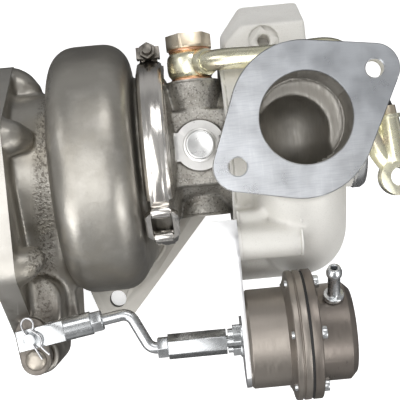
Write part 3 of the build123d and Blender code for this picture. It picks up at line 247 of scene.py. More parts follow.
def turbine_iron():
    """Heat-resistant cast iron: smooth shell skin, a pitted strip along the neck, painted shade in the hollows and
    over the volute's +Y side.
    """
    f = Finish("turbine_iron", (0.45, 0.43, 0.39), 0.9, 0.38)
    cloud = f.noise(30, 5, 0.6)
    f.tint(cloud, (0.33, 0.305, 0.265), 0.46, 0.70, 0.7)
    f.tint(f.noise(90, 5), (0.57, 0.55, 0.51), 0.52, 0.72, 0.5)
    f.tint(f.noise(26, 4, 0.5, (1, 1, 1.7)), (0.47, 0.41, 0.30), 0.55, 0.72, 0.35)
    strip = f.window(f.along((1.0, -0.12, 0.0)), -0.0405, -0.0315, 0.002)
    pits = f.noise(620, 3, 0.7)
    f.tint(f.times(strip, f.ramp(pits, 0.50, 0.60)), (0.10, 0.085, 0.07), 0.0, 1.0, 0.75)
    # painted shade: the volute is painted darker towards +Y, from 0.092 m to 0.2 m
    crown = f.window(f.along((0.0, 1.0, 0.0)), 0.092, 0.200, 0.012)
    f.tint(crown, (0.17, 0.155, 0.13), 0.0, 1.0, 0.5)
    foot = f.window(f.along((0.0, 1.0, 0.0)), -0.080, -0.030, 0.008)
    f.tint(f.times(foot, f.ramp(f.noise(70, 4), 0.35, 0.60)), (0.13, 0.11, 0.09), 0.0, 1.0, 0.7)
    # painted shade: the second colour darkens corners and hollows
    f.edges((0.62, 0.60, 0.56), (0.07, 0.06, 0.05), 0.7)
    f.rough(f.noise(60, 5), 0.3, 0.7, 0.30, 0.46)
    f.bump(f.noise(150, 3), 0.5, 0.35)
    f.bump(f.times(strip, pits), 0.9, 0.8)
    f.bump(f.noise(900, 5, 0.65), 0.10, 0.5)
    return f.done()


def plate_iron():
    """The turbine inlet flange: the housing's iron, more even."""
    f = Finish("plate_iron", (0.40, 0.385, 0.35), 0.9, 0.42)
    f.tint(f.noise(50, 4), (0.28, 0.26, 0.23), 0.46, 0.70, 0.6)
    # painted shade: the second colour darkens corners and hollows
    f.edges((0.56, 0.54, 0.50), (0.08, 0.07, 0.06), 0.6)
    f.bump(f.noise(500, 4), 0.12, 0.5)
    return f.done()


def bearing_iron():
    """Sand-cast grey iron: coarse, with bright specks."""
    f = Finish("bearing_iron", (0.49, 0.47, 0.43), 0.85, 0.42)
    f.tint(f.noise(70, 4), (0.24, 0.22, 0.19), 0.45, 0.68, 0.8)
    f.tint(f.noise(750, 4, 0.7), (0.09, 0.08, 0.07), 0.52, 0.66, 0.75)
    f.tint(f.noise(1100, 2), (0.74, 0.72, 0.68), 0.60, 0.70, 0.7)
    # painted shade: the second colour darkens corners and hollows
    f.edges((0.52, 0.50, 0.46), (0.035, 0.03, 0.025), 0.8)
    f.rough(f.noise(300, 4), 0.3, 0.7, 0.34, 0.55)
    f.bump(f.noise(380, 4, 0.6), 0.7, 0.7)
    f.bump(f.noise(1200, 3), 0.16, 0.7)
    return f.done()


def lever_iron():
    """Dark forged iron of the wastegate lever."""
    f = Finish("lever_iron", (0.19, 0.17, 0.15), 0.85, 0.4)
    f.tint(f.noise(120, 4), (0.10, 0.09, 0.075), 0.45, 0.7, 0.7)
    # painted shade: the second colour darkens corners and hollows
    f.edges((0.42, 0.39, 0.35), (0.04, 0.035, 0.03), 0.7)
    f.rough(f.noise(250, 4), 0.3, 0.7, 0.3, 0.5)
    f.bump(f.noise(500, 4), 0.2, 0.5)
    return f.done()


def cast_aluminium():
    """Gravity-cast aluminium: pale, dull and finely sandy, with painted shade over its upper part and in its
    corners.
    """
    f = Finish("cast_aluminium", (0.94, 0.925, 0.885), 0.32, 0.55)
    # painted shade: the housing is painted darker from 0.1 m to 0.3 m up, over its upper part
    high = f.window(f.along((0.0, 0.0, 1.0)), 0.100, 0.300, 0.020)
    f.tint(high, (0.76, 0.745, 0.70), 0.0, 1.0, 0.8)
    f.tint(f.noise(45, 4), (0.83, 0.81, 0.765), 0.45, 0.75, 0.5)
    f.tint(f.noise(1500, 2, 0.8), (0.62, 0.60, 0.56), 0.56, 0.70, 0.45)
    # painted shade: the second colour darkens corners and hollows
    f.edges((0.94, 0.93, 0.90), (0.36, 0.34, 0.31), 0.6)
    f.rough(f.noise(200, 4), 0.3, 0.7, 0.48, 0.64)
    f.bump(f.noise(1300, 3, 0.7), 0.12, 0.7)
    f.bump(f.noise(160, 2), 0.15, 0.3)
    return f.done()


def milled_aluminium():
    """Face-milled aluminium: fine crossing scratches over a cool, cloudy sheen, painted darker towards the +x+y
    corner as shade.
    """
    f = Finish("milled_aluminium", (0.78, 0.80, 0.83), 1.0, 0.34)
    scratch = f.noise(60, 6, 0.75, (9.0, 1.1, 9.0))
    fine = f.noise(110, 2, 0.5, (1.0, 12.0, 1.0))
    f.tint(f.noise(30, 4), (0.82, 0.84, 0.87), 0.42, 0.70, 0.8)
    f.tint(scratch, (0.90, 0.92, 0.94), 0.50, 0.66, 0.5)
    f.tint(fine, (0.50, 0.52, 0.57), 0.42, 0.72, 0.3)
    # painted shade: the flange face is painted darker towards its +x+y corner
    f.tint(f.window(f.along((0.707, 0.707, 0.0)), 0.118, 0.220, 0.016), (0.46, 0.48, 0.51), 0.0, 1.0, 0.75)
    f.rough(f.noise(80, 5), 0.3, 0.7, 0.26, 0.44)
    f.bump(scratch, 0.03, 0.3)
    return f.done()


def turned(name, color, roughness, metallic=1.0, groove=0.02, pitch_mm=0.5, cloud=0.35):
    """Lathe-turned metal with fine rings along the shaft's direction."""
    f = Finish(name, color, metallic, roughness)
    wave = f.node("ShaderNodeTexWave")
    wave.wave_type, wave.bands_direction = "BANDS", "X"
    wave.inputs["Scale"].default_value = 1.0 / (pitch_mm * MM * 3.1416)
    wave.inputs["Distortion"].default_value = 1.5
    wave.inputs["Detail"].default_value = 2.0
    f.link(f.place, wave.inputs["Vector"])
    f.tint(f.noise(90, 4), tuple(c * 0.78 for c in color), 0.45, 0.72, cloud)
    # painted shade: the second colour darkens corners and hollows
    f.edges(tuple(min(1.0, c * 1.7) for c in color), tuple(c * 0.4 for c in color), 0.5)
    f.rough(f.noise(140, 4, stretch=(8, 1, 1)), 0.3, 0.7, roughness * 0.8, roughness * 1.3)
    f.bump(wave.outputs["Fac"], groove, 0.4)
    return f.done()


def faced(name, color, roughness, centre, pitch_mm=0.9):
    """Metal faced on a lathe: fine rings about a vertical line through the centre."""
    f = Finish(name, color, 1.0, roughness)
    shift = f.node("ShaderNodeMapping")
    shift.inputs["Location"].default_value = -at(*centre)
    f.link(f.place, shift.inputs["Vector"])
    wave = f.node("ShaderNodeTexWave")
    wave.wave_type, wave.rings_direction = "RINGS", "Z"
    wave.inputs["Scale"].default_value = 1.0 / (pitch_mm * MM * 3.1416)
    wave.inputs["Distortion"].default_value = 2.5
    wave.inputs["Detail"].default_value = 2.0
    f.link(shift.outputs["Vector"], wave.inputs["Vector"])
    f.tint(f.noise(120, 4), tuple(c * 0.8 for c in color), 0.45, 0.70, 0.6)
    # painted shade: the second colour darkens corners and hollows
    f.edges(tuple(min(1.0, c * 1.2) for c in color), tuple(c * 0.4 for c in color), 0.5)
    f.rough(f.noise(200, 4), 0.3, 0.7, roughness * 0.8, roughness * 1.3)
    f.bump(wave.outputs["Fac"], 0.03, 0.35)
    f.bump(f.noise(500, 3), 0.05, 0.3)
    return f.done()


def plated(name, color, second, roughness, blotch=0.6, bump=0.04):
    """Zinc plating: cloudy, with slightly different tints and a soft shine."""
    f = Finish(name, color, 1.0, roughness)
    f.tint(f.noise(120, 4), second, 0.42, 0.70, blotch)
    # painted shade: the second colour darkens corners and hollows
    f.edges(tuple(min(1.0, c * 1.15) for c in color), tuple(c * 0.35 for c in color), 0.5)
    f.rough(f.noise(260, 5), 0.3, 0.7, roughness * 0.75, roughness * 1.35)
    f.bump(f.noise(900, 3), bump, 0.35)
    return f.done()


def yellow_zinc():
    """Yellow chromate on zinc, with green and pink interference in its clouds."""
    f = Finish("yellow_zinc", (0.98, 0.95, 0.75), 1.0, 0.27)
    f.tint(f.noise(55, 3), (0.86, 0.82, 0.50), 0.45, 0.70, 0.6)
    f.tint(f.noise(75, 3, stretch=(1, 1.4, 1)), (0.90, 0.70, 0.62), 0.55, 0.72, 0.45)
    f.tint(f.noise(300, 4), (0.98, 0.96, 0.86), 0.55, 0.75, 0.4)
    # painted shade: the second colour darkens corners and hollows
    f.edges((0.96, 0.92, 0.74), (0.22, 0.19, 0.08), 0.4)
    f.rough(f.noise(220, 4), 0.3, 0.7, 0.20, 0.36)
    f.bump(f.noise(700, 3), 0.04, 0.3)
    return f.done()


def rubber(name, color, roughness=0.6):
    """Moulded rubber with a faint bloom."""
    f = Finish(name, color, 0.0, roughness)
    f.tint(f.noise(300, 4), tuple(c * 1.8 for c in color), 0.5, 0.8, 0.5)
    f.bump(f.noise(900, 4), 0.06, 0.5)
    return f.done()


def polished_steel():
    """Stainless strip: bright, with faint marks along the band."""
    f = Finish("stainless", (0.79, 0.76, 0.72), 1.0, 0.17)
    streak = f.noise(420, 4, 0.6, (6, 1, 1))
    f.tint(f.noise(40, 3), (0.56, 0.51, 0.46), 0.45, 0.75, 0.5)
    # painted shade: the second colour darkens corners and hollows
    f.edges((0.90, 0.88, 0.85), (0.18, 0.15, 0.12), 0.5)
    f.rough(streak, 0.3, 0.7, 0.12, 0.26)
    f.bump(streak, 0.012, 0.3)
    return f.done()


MATERIALS = {
    "turbine_iron": turbine_iron(),
    "plate_iron": plate_iron(),
    "bearing_iron": bearing_iron(),
    "lever_iron": lever_iron(),
    "cast_aluminium": cast_aluminium(),
    "milled_aluminium": milled_aluminium(),
    # painted shade: bored_aluminium is painted darker than machined aluminium, for the deep outlet duct
    "bored_aluminium": turned("bored_aluminium", (0.46, 0.44, 0.405), 0.5, groove=0.01),
    "machined_iron": turned("machined_iron", (0.70, 0.69, 0.67), 0.30, groove=0.01),
    "faced_iron": faced("faced_iron", (0.74, 0.73, 0.71), 0.32, (1.5, 0, 0)),
    "faced_plug": faced("faced_plug", (0.80, 0.80, 0.79), 0.30, (1.5, 0, 0), 1.4),
    "machined_aluminium": turned("machined_aluminium", (0.80, 0.81, 0.82), 0.24, groove=0.03),
    "stainless": polished_steel(),
    "dark_steel": plated("dark_steel", (0.20, 0.185, 0.165), (0.12, 0.11, 0.10), 0.35),
    "heat_steel": turned("heat_steel", (0.36, 0.33, 0.30), 0.36),
    "ground_steel": turned("ground_steel", (0.62, 0.62, 0.62), 0.2),
    "black_steel": plated("black_steel", (0.06, 0.06, 0.062), (0.03, 0.03, 0.03), 0.4),
    "spring_steel": plated("spring_steel", (0.62, 0.62, 0.63), (0.42, 0.42, 0.43), 0.22),
    "zinc_steel": plated("zinc_steel", (0.68, 0.695, 0.705), (0.48, 0.495, 0.51), 0.25),
    "white_zinc": plated("white_zinc", (0.92, 0.92, 0.925), (0.80, 0.80, 0.82), 0.38, 0.4),
    "yellow_zinc": yellow_zinc(),
    "tan_zinc": plated("tan_zinc", (0.74, 0.64, 0.49), (0.88, 0.82, 0.70), 0.32, 0.7),
    "copper": plated("copper", (0.78, 0.46, 0.30), (0.56, 0.30, 0.20), 0.3),
    "bronze": turned("bronze", (0.62, 0.42, 0.20), 0.28),
    "weld_metal": plated("weld_metal", (0.56, 0.51, 0.44), (0.42, 0.37, 0.31), 0.42, 0.7, 0.15),
    "anodised": turned("anodised", (0.245, 0.215, 0.19), 0.34, 0.85, 0.025, 0.6, 0.25),
    "pale_anodised": turned("pale_anodised", (0.35, 0.315, 0.28), 0.36, 0.85, 0.03, 0.6, 0.25),
    "seal_rubber": rubber("seal_rubber", (0.02, 0.02, 0.02)),
    "black_rubber": rubber("black_rubber", (0.03, 0.03, 0.03)),
    "diaphragm_rubber": rubber("diaphragm_rubber", (0.025, 0.025, 0.025)),
}


# --- mesh helpers -------------------------------------------------------------------------------
def new_object(name, mesh):
    obj = bpy.data.objects.new(name, mesh)
    bpy.context.scene.collection.objects.link(obj)
    return obj


def copy_of(node, name):
    """New object with a copy of the CAD node's mesh and no finish."""
    mesh = NODES[node].data.copy()
    mesh.materials.clear()
    return new_object(name, mesh)


def bake_modifiers(obj):
    """Turns the result of the object's modifiers into its mesh."""
    graph = bpy.context.evaluated_depsgraph_get()
    mesh = bpy.data.meshes.new_from_object(obj.evaluated_get(graph))
    obj.modifiers.clear()
    old = obj.data
    obj.data = mesh
    bpy.data.meshes.remove(old)


def modify(obj, kind, **settings):
    modifier = obj.modifiers.new(kind.lower(), kind)
    for key, value in settings.items():
        setattr(modifier, key, value)
    bake_modifiers(obj)


def boolean(obj, other, operation):
    """Joins, cuts or intersects obj with other, which is used up."""
    modify(obj, "BOOLEAN", object=other, operation=operation, solver="MANIFOLD")
    bpy.data.objects.remove(other)


def recast(obj, voxel_mm, rounds):
    """Rebuilds a casting's skin so that its corners become fillets."""
    modify(obj, "REMESH", mode="VOXEL", voxel_size=voxel_mm * MM)
    modify(obj, "SMOOTH", factor=0.5, iterations=rounds)


def shade(obj, angle=35):
    """Smooth shading, with edges sharper than angle (degrees) left crisp."""
    mesh = obj.data
    mesh.polygons.foreach_set("use_smooth", [True] * len(mesh.polygons))
    mesh.set_sharp_from_angle(angle=math.radians(angle))


def soften(node, name, width_mm, angle=38):
    """Copy of a CAD node with its flat faces merged and its hard edges bevelled."""
    obj = copy_of(node, name)
    work = bmesh.new()
    work.from_mesh(obj.data)
    bmesh.ops.remove_doubles(work, verts=work.verts, dist=MERGE_MM * MM)
    bmesh.ops.dissolve_limit(work, angle_limit=math.radians(0.6), verts=work.verts,
                             edges=work.edges)
    work.to_mesh(obj.data)
    work.free()
    modify(obj, "BEVEL", width=width_mm * MM, segments=2, limit_method="ANGLE",
           angle_limit=math.radians(angle), use_clamp_overlap=True, miter_outer="MITER_ARC")
    shade(obj)
    return obj


def stand_for(obj, node, material=None):
    """The piece takes the node's place: its body, its slot and its finish."""
    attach(obj, BODY_OF[node])
    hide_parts(node)
    if len(obj.data.materials) < 2:
        finish_as(obj, material or SLOT_OF[node])


def mesh_from(name, points, faces):
    mesh = bpy.data.meshes.new(name)
    mesh.from_pydata([tuple(p) for p in points], [], faces)
    mesh.validate()
    return new_object(name, mesh)


def rounded(profile, radius, steps=3):
    """The closed (x, r) profile with each corner replaced by a small arc."""
    out = []
    count = len(profile)
    for i, point in enumerate(profile):
        here = Vector(point)
        before, after = Vector(profile[i - 1]), Vector(profile[(i + 1) % count])
        reach = min(radius, (before - here).length * 0.45, (after - here).length * 0.45)
        a = here + (before - here).normalized() * reach
        b = here + (after - here).normalized() * reach
        for k in range(steps + 1):
            t = k / steps
            out.append((1 - t) ** 2 * a + 2 * t * (1 - t) * here + t * t * b)
    return out


def lathe(name, profile, y, z, round_mm=0.5, steps=144, start=0.0, end=360.0):
    """Solid of revolution about a line along X through (y, z), from a closed (x, radius) profile."""
    points, faces = [], []
    ring = rounded(profile, round_mm)
    whole = abs(end - start) >= 360.0
    turns = steps if whole else steps + 1
    for i in range(turns):
        a = math.radians(start + (end - start) * i / steps)
        for x, r in ring:
            points.append(at(x, y - r * math.cos(a), z + r * math.sin(a)))
    n = len(ring)
    for i in range(steps):
        j = (i + 1) % turns
        for k in range(n):
            m = (k + 1) % n
            faces.append((i * n + k, j * n + k, j * n + m, i * n + m))
    if not whole:
        faces.append(tuple(range(n - 1, -1, -1)))
        faces.append(tuple(range((turns - 1) * n, turns * n)))
    obj = mesh_from(name, points, faces)
    fix_normals(obj)
    shade(obj, 40)
    return obj


def fix_normals(obj):
    work = bmesh.new()
    work.from_mesh(obj.data)
    bmesh.ops.recalc_face_normals(work, faces=work.faces)
    work.to_mesh(obj.data)
    work.free()


def hull_outline(circles, steps=64):
    """Convex outline round (a, b, radius) circles, counter-clockwise."""
    cloud = []
    for a, b, r in circles:
        for i in range(steps):
            t = 2 * math.pi * i / steps
            cloud.append((a + r * math.cos(t), b + r * math.sin(t)))
    cloud.sort()

    def half(points):
        chain = []
        for p in points:
            while len(chain) > 1 and ((chain[-1][0] - chain[-2][0]) * (p[1] - chain[-2][1])
                                      - (chain[-1][1] - chain[-2][1]) * (p[0] - chain[-2][0])) <= 0:
                chain.pop()
            chain.append(p)
        return chain[:-1]

    return half(cloud) + half(cloud[::-1])


def slab(name, outline, low, high, chamfer):
    """Level plate from an (x, y) outline, between two heights, with a chamfered rim on its top."""
    centre = Vector((sum(p[0] for p in outline), sum(p[1] for p in outline))) / len(outline)
    levels = [(low, 0.0), (high - chamfer, 0.0), (high, chamfer)]
    points = []
    for h, inset in levels:
        for a, b in outline:
            out = Vector((a, b)) - centre
            moved = centre + out * (1 - inset / out.length)
            points.append(at(moved.x, moved.y, h))
    n = len(outline)
    faces = [tuple(range(n)), tuple(range(2 * n, 3 * n))]
    for level in range(2):
        for i in range(n):
            j = (i + 1) % n
            faces.append((level * n + i, level * n + j, (level + 1) * n + j, (level + 1) * n + i))
    obj = mesh_from(name, points, faces)
    fix_normals(obj)
    return obj


def drill(start, end, radius, lip=0.0, steps=64):
    """Cutter from start to end, with a cone of size lip at the start."""
    length = (at(*end) - at(*start)).length / MM
    stations = [(0.0, radius), (length, radius)]
    if lip:
        stations = [(-1.0, radius + lip + 1.0), (lip, radius), (length, radius)]
    return cones("cutter", start, end, stations, steps)


def cones(name, start, end, stations, steps=48):
    """Round solid from start towards end, from (distance, radius) stations."""
    axis = at(*end) - at(*start)
    turn = axis.to_track_quat("X", "Z").to_matrix()
    points = []
    for x, r in stations:
        for i in range(steps):
            t = 2 * math.pi * i / steps
            points.append(at(*start) + turn @ Vector((x, r * math.cos(t), r * math.sin(t))) * MM)
    faces = [tuple(range(steps)), tuple(range((len(stations) - 1) * steps, len(stations) * steps))]
    for level in range(len(stations) - 1):
        for i in range(steps):
            j = (i + 1) % steps
            faces.append((level * steps + i, level * steps + j,
                          (level + 1) * steps + j, (level + 1) * steps + i))
    obj = mesh_from(name, points, faces)
    fix_normals(obj)
    return obj


# --- castings -----------------------------------------------------------------------------------
def box_cutter(x0, x1, y0, y1, z0, z1):
    """Box between two corners, for cutting or for keeping a region."""
    points = [at(x, y, z) for z in (z0, z1) for y in (y0, y1) for x in (x0, x1)]
    faces = [(0, 2, 3, 1), (4, 5, 7, 6), (0, 1, 5, 4), (2, 6, 7, 3), (0, 4, 6, 2), (1, 3, 7, 5)]
    obj = mesh_from("box", points, faces)
    fix_normals(obj)
    return obj


def welded(node, name):
    """Copy of a CAD node whose split vertices are merged, so that it is one closed skin."""
    obj = copy_of(node, name)
    work = bmesh.new()
    work.from_mesh(obj.data)
    bmesh.ops.remove_doubles(work, verts=work.verts, dist=MERGE_MM * MM)
    work.to_mesh(obj.data)
    work.free()
    return obj


def casting(node, voxel_mm, rounds, crisp, cutters, ribs=()):
    """Casting with filleted corners, whose machined regions (boxes) and bores stay sharp."""
    obj = welded(node, node + "_casting")
    for rib in ribs:
        boolean(obj, rib, "UNION")
    recast(obj, voxel_mm, rounds)
    for region in crisp:
        piece = welded(node, "machined")
        boolean(piece, box_cutter(*region), "INTERSECT")
        boolean(obj, piece, "UNION")
    for cutter in cutters:
        boolean(obj, cutter, "DIFFERENCE")
    shade(obj, 40)
    return obj


def spun_cutter(profile, y=0.0, z=0.0):
    return lathe("cutter", profile, y, z, round_mm=0.0, steps=96)


def finish_as(obj, material):
    """Gives the whole piece one finish."""
    obj.data.materials.clear()
    obj.data.materials.append(MATERIALS[material])
    obj.data.polygons.foreach_set("material_index", [0] * len(obj.data.polygons))


def paint(obj, rule, material, flat=False):
    """Gives the faces that rule(centre, normal) picks a second finish; centre is in shaft millimetres."""
    obj.data.materials.append(MATERIALS[material])
    index = len(obj.data.materials) - 1
    for polygon in obj.data.polygons:
        centre = (polygon.center - SHAFT) / MM
        if rule(centre, polygon.normal):
            polygon.material_index = index
            if flat and max(abs(value) for value in polygon.normal) > 0.999:
                polygon.use_smooth = False


TURBINE_BOLTS = [(-50 + 45 * math.cos(math.radians(258.4 + 120 * i)),
                  -42 + 45 * math.sin(math.radians(258.4 + 120 * i))) for i in range(3)]
EXIT_BOLTS = ((45.0, 0.0), (13.0, 45.0), (-54.0, 43.0), (-22.0, -46.0))


def turbine_casting():
    """Turbine housing with sharp flanges, bolt holes, inlet, exit bore and band seat."""
    cutters = [drill((x, y, -83), (x, y, -71), 5.25) for x, y in TURBINE_BOLTS]
    cutters += [drill((-111, y, z), (-94, y, z), 4.2) for y, z in EXIT_BOLTS]
    cutters.append(drill((-50, -42, -83), (-50, -42, -70), 21.0))
    cutters.append(drill((-93, -102.6, 31), (-93, -102.6, -9), 6.5))
    cutters.append(spun_cutter([(-70, 0.01), (-70, 24.4), (-58, 22.9), (-51.9, 23.2), (-47, 24.2),
                                (-42.9, 26.4), (-30, 26.4), (-30, 0.01)]))
    cutters.append(spun_cutter([(-33.5, 0.01), (-33.5, 34.6), (-30, 34.6), (-30, 36.1),
                                (-21, 36.1), (-21, 0.01)]))
    crisp = [(-150, 50, -130, 60, -82.5, -72.0), (-110.5, -98.0, -130, 80, -70, 70),
             (-29.0, -21.5, -60, 60, -60, 60)]
    ribs = []
    for y, z in EXIT_BOLTS:
        lean = 1 - 8.0 / math.hypot(y, z)
        ribs.append(cones("rib", (-97.5, y, z), (-84, y * lean, z * lean), [(0, 9.5), (5, 9.0), (14, 5.0)]))
    obj = casting("turbine_housing", 1.5, 11, crisp, cutters, ribs)
    finish_as(obj, "turbine_iron")
    paint(obj, lambda c, n: c.z < -71.0, "plate_iron")
    paint(obj, lambda c, n: (n.z < -0.99 and c.z < -81.8) or (n.x < -0.99 and c.x < -109.8),
          "machined_iron", flat=True)
    stand_for(obj, "turbine_housing")


OUTLET_X, OUTLET_Y, OUTLET_Z, OUTLET_BORE_R = 54, 6.4, 72, 22.8
OUTLET_FLANGE_T, OUTLET_BOLT_HALF, OUTLET_BOLT_ANGLE = 9.5, 41.0, 30.3
EAR_R, BODY_R = 12.3, 36.0              # corner radii of the outlet flange, at its holes and its middle


def outlet_flange():
    """The two-bolt outlet flange, and the (x, y) places of its holes."""
    a = math.radians(OUTLET_BOLT_ANGLE)
    dx, dy = OUTLET_BOLT_HALF * math.cos(a), OUTLET_BOLT_HALF * math.sin(a)
    nx, ny = -math.sin(a), math.cos(a)
    x, y = OUTLET_X, OUTLET_Y
    outline = hull_outline(((x + dx, y + dy, EAR_R), (x - dx, y - dy, EAR_R),
                            (x + nx * 2.5, y + ny * 2.5, BODY_R),
                            (x - nx * 1.5 - dx * 0.1, y - ny * 1.5 - dy * 0.1, BODY_R)))
    holes = [(x + dx, y + dy), (x - dx, y - dy)]
    return slab("flange", outline, OUTLET_Z - OUTLET_FLANGE_T, OUTLET_Z, 0.5), holes


def in_outlet(c, n):
    """Rule for the outlet's bore and the part of the scroll's air space that is seen through it; these faces get
    the darker bored finish, machined rings on the bore and painted shade for the deep duct on both.
    """
    off_axis = math.hypot(c.x - OUTLET_X, c.y - OUTLET_Y)
    if off_axis > OUTLET_BORE_R + 0.15 or c.z < 10 or n.z < -0.6 or n.z > 0.6 and c.z > 60:
        return False
    return c.z > 41 or math.hypot(c.x - 50, math.hypot(c.y, c.z) - 46.5) < 20.8


def compressor_casting():
    """Compressor housing with its outlet flange, wheel room, pad hole and bracket holes."""
    flange, holes = outlet_flange()
    wheel_room = spun_cutter([(25.02, 0.01), (25.02, 45.0), (32.8, 45.0), (32.8, 38.5), (28.4, 38.5),
                              (28.4, 29.4), (28.8, 27.4), (30.0, 26.8), (34.5, 24.7), (41.5, 23.4),
                              (52.0, 23.0), (60.0, 24.6), (91.4, 24.6), (91.4, 0.01)])
    crisp = [(15.0, 17.5, -80, 90, -60, 60), (83.5, 91.0, -40, 40, -40, 40),
             (47.6, 49.0, -62, -43, 38, 58), (43.1, 44.5, -76, -56, -4, 16)]
    obj = casting("compressor_housing", 1.35, 8, crisp, [box_cutter(0, 115, -60, 70, 71.6, 80)])
    boolean(obj, flange, "UNION")
    cutters = [drill((OUTLET_X, OUTLET_Y, OUTLET_Z), (OUTLET_X, OUTLET_Y, OUTLET_Z - 28),
                     OUTLET_BORE_R, 0.5, 96), wheel_room,
               spun_cutter([(14, 0.01), (14, 42.0), (25.03, 42.0), (25.03, 0.01)]),
               drill((42, 55.5, 12), (42, 55.5, 8.6), 8.2), drill((42, 55.5, 12), (42, 55.5, -4), 3.4)]
    flange_foot = OUTLET_Z - OUTLET_FLANGE_T
    cutters += [drill((x, y, OUTLET_Z), (x, y, OUTLET_Z - 14), 4.5, 0.6) for x, y in holes]
    cutters += [drill((x, y, flange_foot), (x, y, flange_foot - 10.5), 9.0) for x, y in holes]
    cutters += [drill((15, y, z), (36, y, z), 3.42) for y, z in ((-52.5, 48), (-66, 6))]
    for cutter in cutters:
        boolean(obj, cutter, "DIFFERENCE")
    shade(obj, 40)
    finish_as(obj, "cast_aluminium")
    paint(obj, lambda c, n: n.z > 0.6 and c.z > 71.4, "milled_aluminium", flat=True)
    # painted shade: the bore and the scroll's inside seen through it get the darker bored finish
    paint(obj, in_outlet, "bored_aluminium")
    paint(obj, lambda c, n: c.x > 83.4 and math.hypot(c.y, c.z) < 31 or c.x < 15.7, "machined_aluminium")
    stand_for(obj, "compressor_housing")


def bearing_casting():
    """Bearing housing with its faced bosses, water, oil and drain bores and the shaft's bore."""
    crisp = [(-22.5, -15.5, -60, 60, -60, 60), (18.0, 22.0, -60, 60, -60, 60),
             (-20, 20, 34.2, 36.0, -5, 35), (-20, 20, -38.0, -36.2, -20, 20),
             (-17, 17, -16, 16, 33.2, 35), (-20, 20, -40, 40, -46.5, -44.5),
             (-31, -21.5, -37, 37, -37, 37)]
    cutters = [drill((0.5, 36.6, 16), (0.5, 17, 16), 6.3), drill((0.5, -38.6, 0), (0.5, -20, 0), 6.3),
               drill((1.5, 0, 35.5), (1.5, 0, 20), 5.4), drill((1, 0, -47), (1, 0, -30), 8.0),
               drill((-16, 0, 0), (14, 0, 0), 6.86), drill((-40, 0, 0), (-15, 0, 0), 8.75),
               drill((13, 0, 0), (30, 0, 0), 17.05)]
    cutters += [drill((1, y, -47), (1, y, -34), 3.4) for y in (22, -22)]
    obj = casting("bearing_housing", 0.85, 7, crisp, cutters)
    finish_as(obj, "bearing_iron")
    paint(obj, lambda c, n: abs(c.y) > 35.5 and abs(n.y) > 0.9, "machined_iron")
    paint(obj, lambda c, n: c.z > 34.3 and n.z > 0.9, "faced_iron")
    stand_for(obj, "bearing_housing")


def band_crown(name, start, end, node):
    """Crowned outer face of the clamp's strap, rolled over at both edges."""
    outer = [(half / 2, 52.0 - 0.05 * (half / 2) ** 2) for half in range(-13, 14)]
    crown = [(-7.2, 47.2), *outer, (7.2, 47.2), (6.2, 47.2), (4.0, 49.9), (-4.0, 49.9), (-6.2, 47.2)]
    ring = lathe(name, [(-22.0 + x, r) for x, r in crown], 0, 0, 0.5, 150, start, end)
    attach(ring, BODY_OF[node])
    finish_as(ring, "stainless")


PLUG_TOP_Z = 42.1


def plug():
    """Turned plug with a shallow dish in its face."""
    profile = [(0.9, 0.05), (0.88, 0.8), (0.78, 1.8), (0.6, 3.0), (0.4, 4.2), (0.2, 5.4), (0.06, 6.3),
               (0.0, 6.8), (0.08, 7.2), (0.4, 7.5), (0.9, 7.6), (6.38, 7.6), (6.4, 5.3), (15.1, 5.3)]
    obj = cones("oil_plug_piece", (1.5, 0, PLUG_TOP_Z), (1.5, 0, 0), profile, 96)
    shade(obj, 50)
    stand_for(obj, "oil_inlet_plug", material="faced_plug")


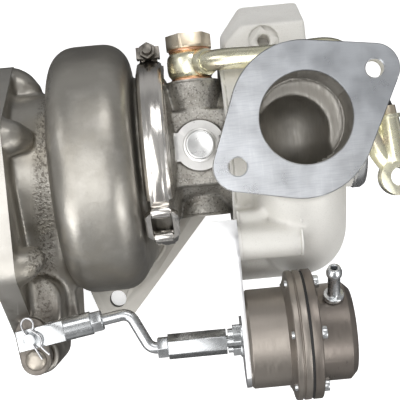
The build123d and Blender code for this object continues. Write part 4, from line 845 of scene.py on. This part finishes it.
def spring_clip():
    """Clip of round wire: one leg through the pin's hole, an eye, and a bowed leg outside."""
    centre = (-94.2, -91.0, 50.4)
    route = ((5.54, -10.42), (2.4, -4.5), (-0.6, 1.1), (-3.4, 5.6), (-3.9, 9.2), (-0.6, 11.6), (2.6, 9.4),
             (2.2, 6.2), (1.2, 4.6), (3.2, 2.9), (5.6, 1.2), (5.9, -1.4), (5.2, -3.4), (6.6, -5.6),
             (9.4, -8.4))
    data = bpy.data.curves.new("clip", "CURVE")
    data.dimensions = "3D"
    data.bevel_depth = 0.62 * MM
    data.bevel_resolution = 5
    data.resolution_u = 10
    data.use_fill_caps = True
    spline = data.splines.new("NURBS")
    spline.points.add(len(route) - 1)
    for point, (x, y) in zip(spline.points, route):
        point.co = (*at(centre[0] + x, centre[1] + y, centre[2]), 1)
    spline.order_u = 3
    spline.use_endpoint_u = True
    curve = new_object("clip_wire", data)
    mesh = bpy.data.meshes.new_from_object(curve.evaluated_get(bpy.context.evaluated_depsgraph_get()))
    bpy.data.objects.remove(curve)
    clip = new_object("clevis_clip_wire", mesh)
    shade(clip, 60)
    stand_for(clip, "clevis_clip")


# --- start ---------------------------------------------------------------------------------------
add_camera()
add_world()
add_lights()
add_floor()
bpy.context.scene.view_settings.view_transform = "Standard"

turbine_casting()
compressor_casting()
bearing_casting()
plug()
band_crown("strap_crown_upper", 58.0, 164.0, "vband_strap_upper")
band_crown("strap_crown_lower", 208.0, 386.0, "vband_strap_lower")
spring_clip()

SOFTENED = {
    "vband_strap_upper": 0.35, "vband_strap_lower": 0.35, "vband_retainers": 0.6, "vband_link": 0.9,
    "vband_tbolt": 0.3, "vband_trunnion": 0.4, "vband_nut": 0.5,
    "oil_plug_washer": 0.25, "banjo_bolt": 0.6, "banjo_washers": 0.25,
    "coolant_pipe": 0.5, "vent_screw": 0.3, "vent_cap": 0.4,
    "wastegate_lever": 0.6, "lever_weld": 1.2, "wastegate_bushing": 0.3, "wastegate_shaft": 0.3,
    "clevis": 0.5, "clevis_pin": 0.4, "actuator_rod": 0.3,
    "adjuster_sleeve": 0.6, "jam_nuts": 0.5,
    "actuator_body": 0.6, "actuator_cover": 0.6, "actuator_screws": 0.3, "hose_nipple": 0.4,
    "actuator_bracket": 0.35, "bracket_bolts": 0.5, "actuator_nuts": 0.4, "actuator_studs": 0.3,
}
OTHER_FINISH = {"vband_tbolt": "dark_steel", "vband_trunnion": "dark_steel", "vband_nut": "dark_steel",
                "oil_plug_washer": "faced_iron",
                "actuator_body": "pale_anodised"}
for softened_node, bevel in SOFTENED.items():
    piece = soften(softened_node, softened_node + "_piece", bevel)
    stand_for(piece, softened_node, material=OTHER_FINISH.get(softened_node))

for node_name, node_object in NODES.items():
    node_object.data.materials.clear()
    node_object.data.materials.append(MATERIALS[SLOT_OF[node_name]])
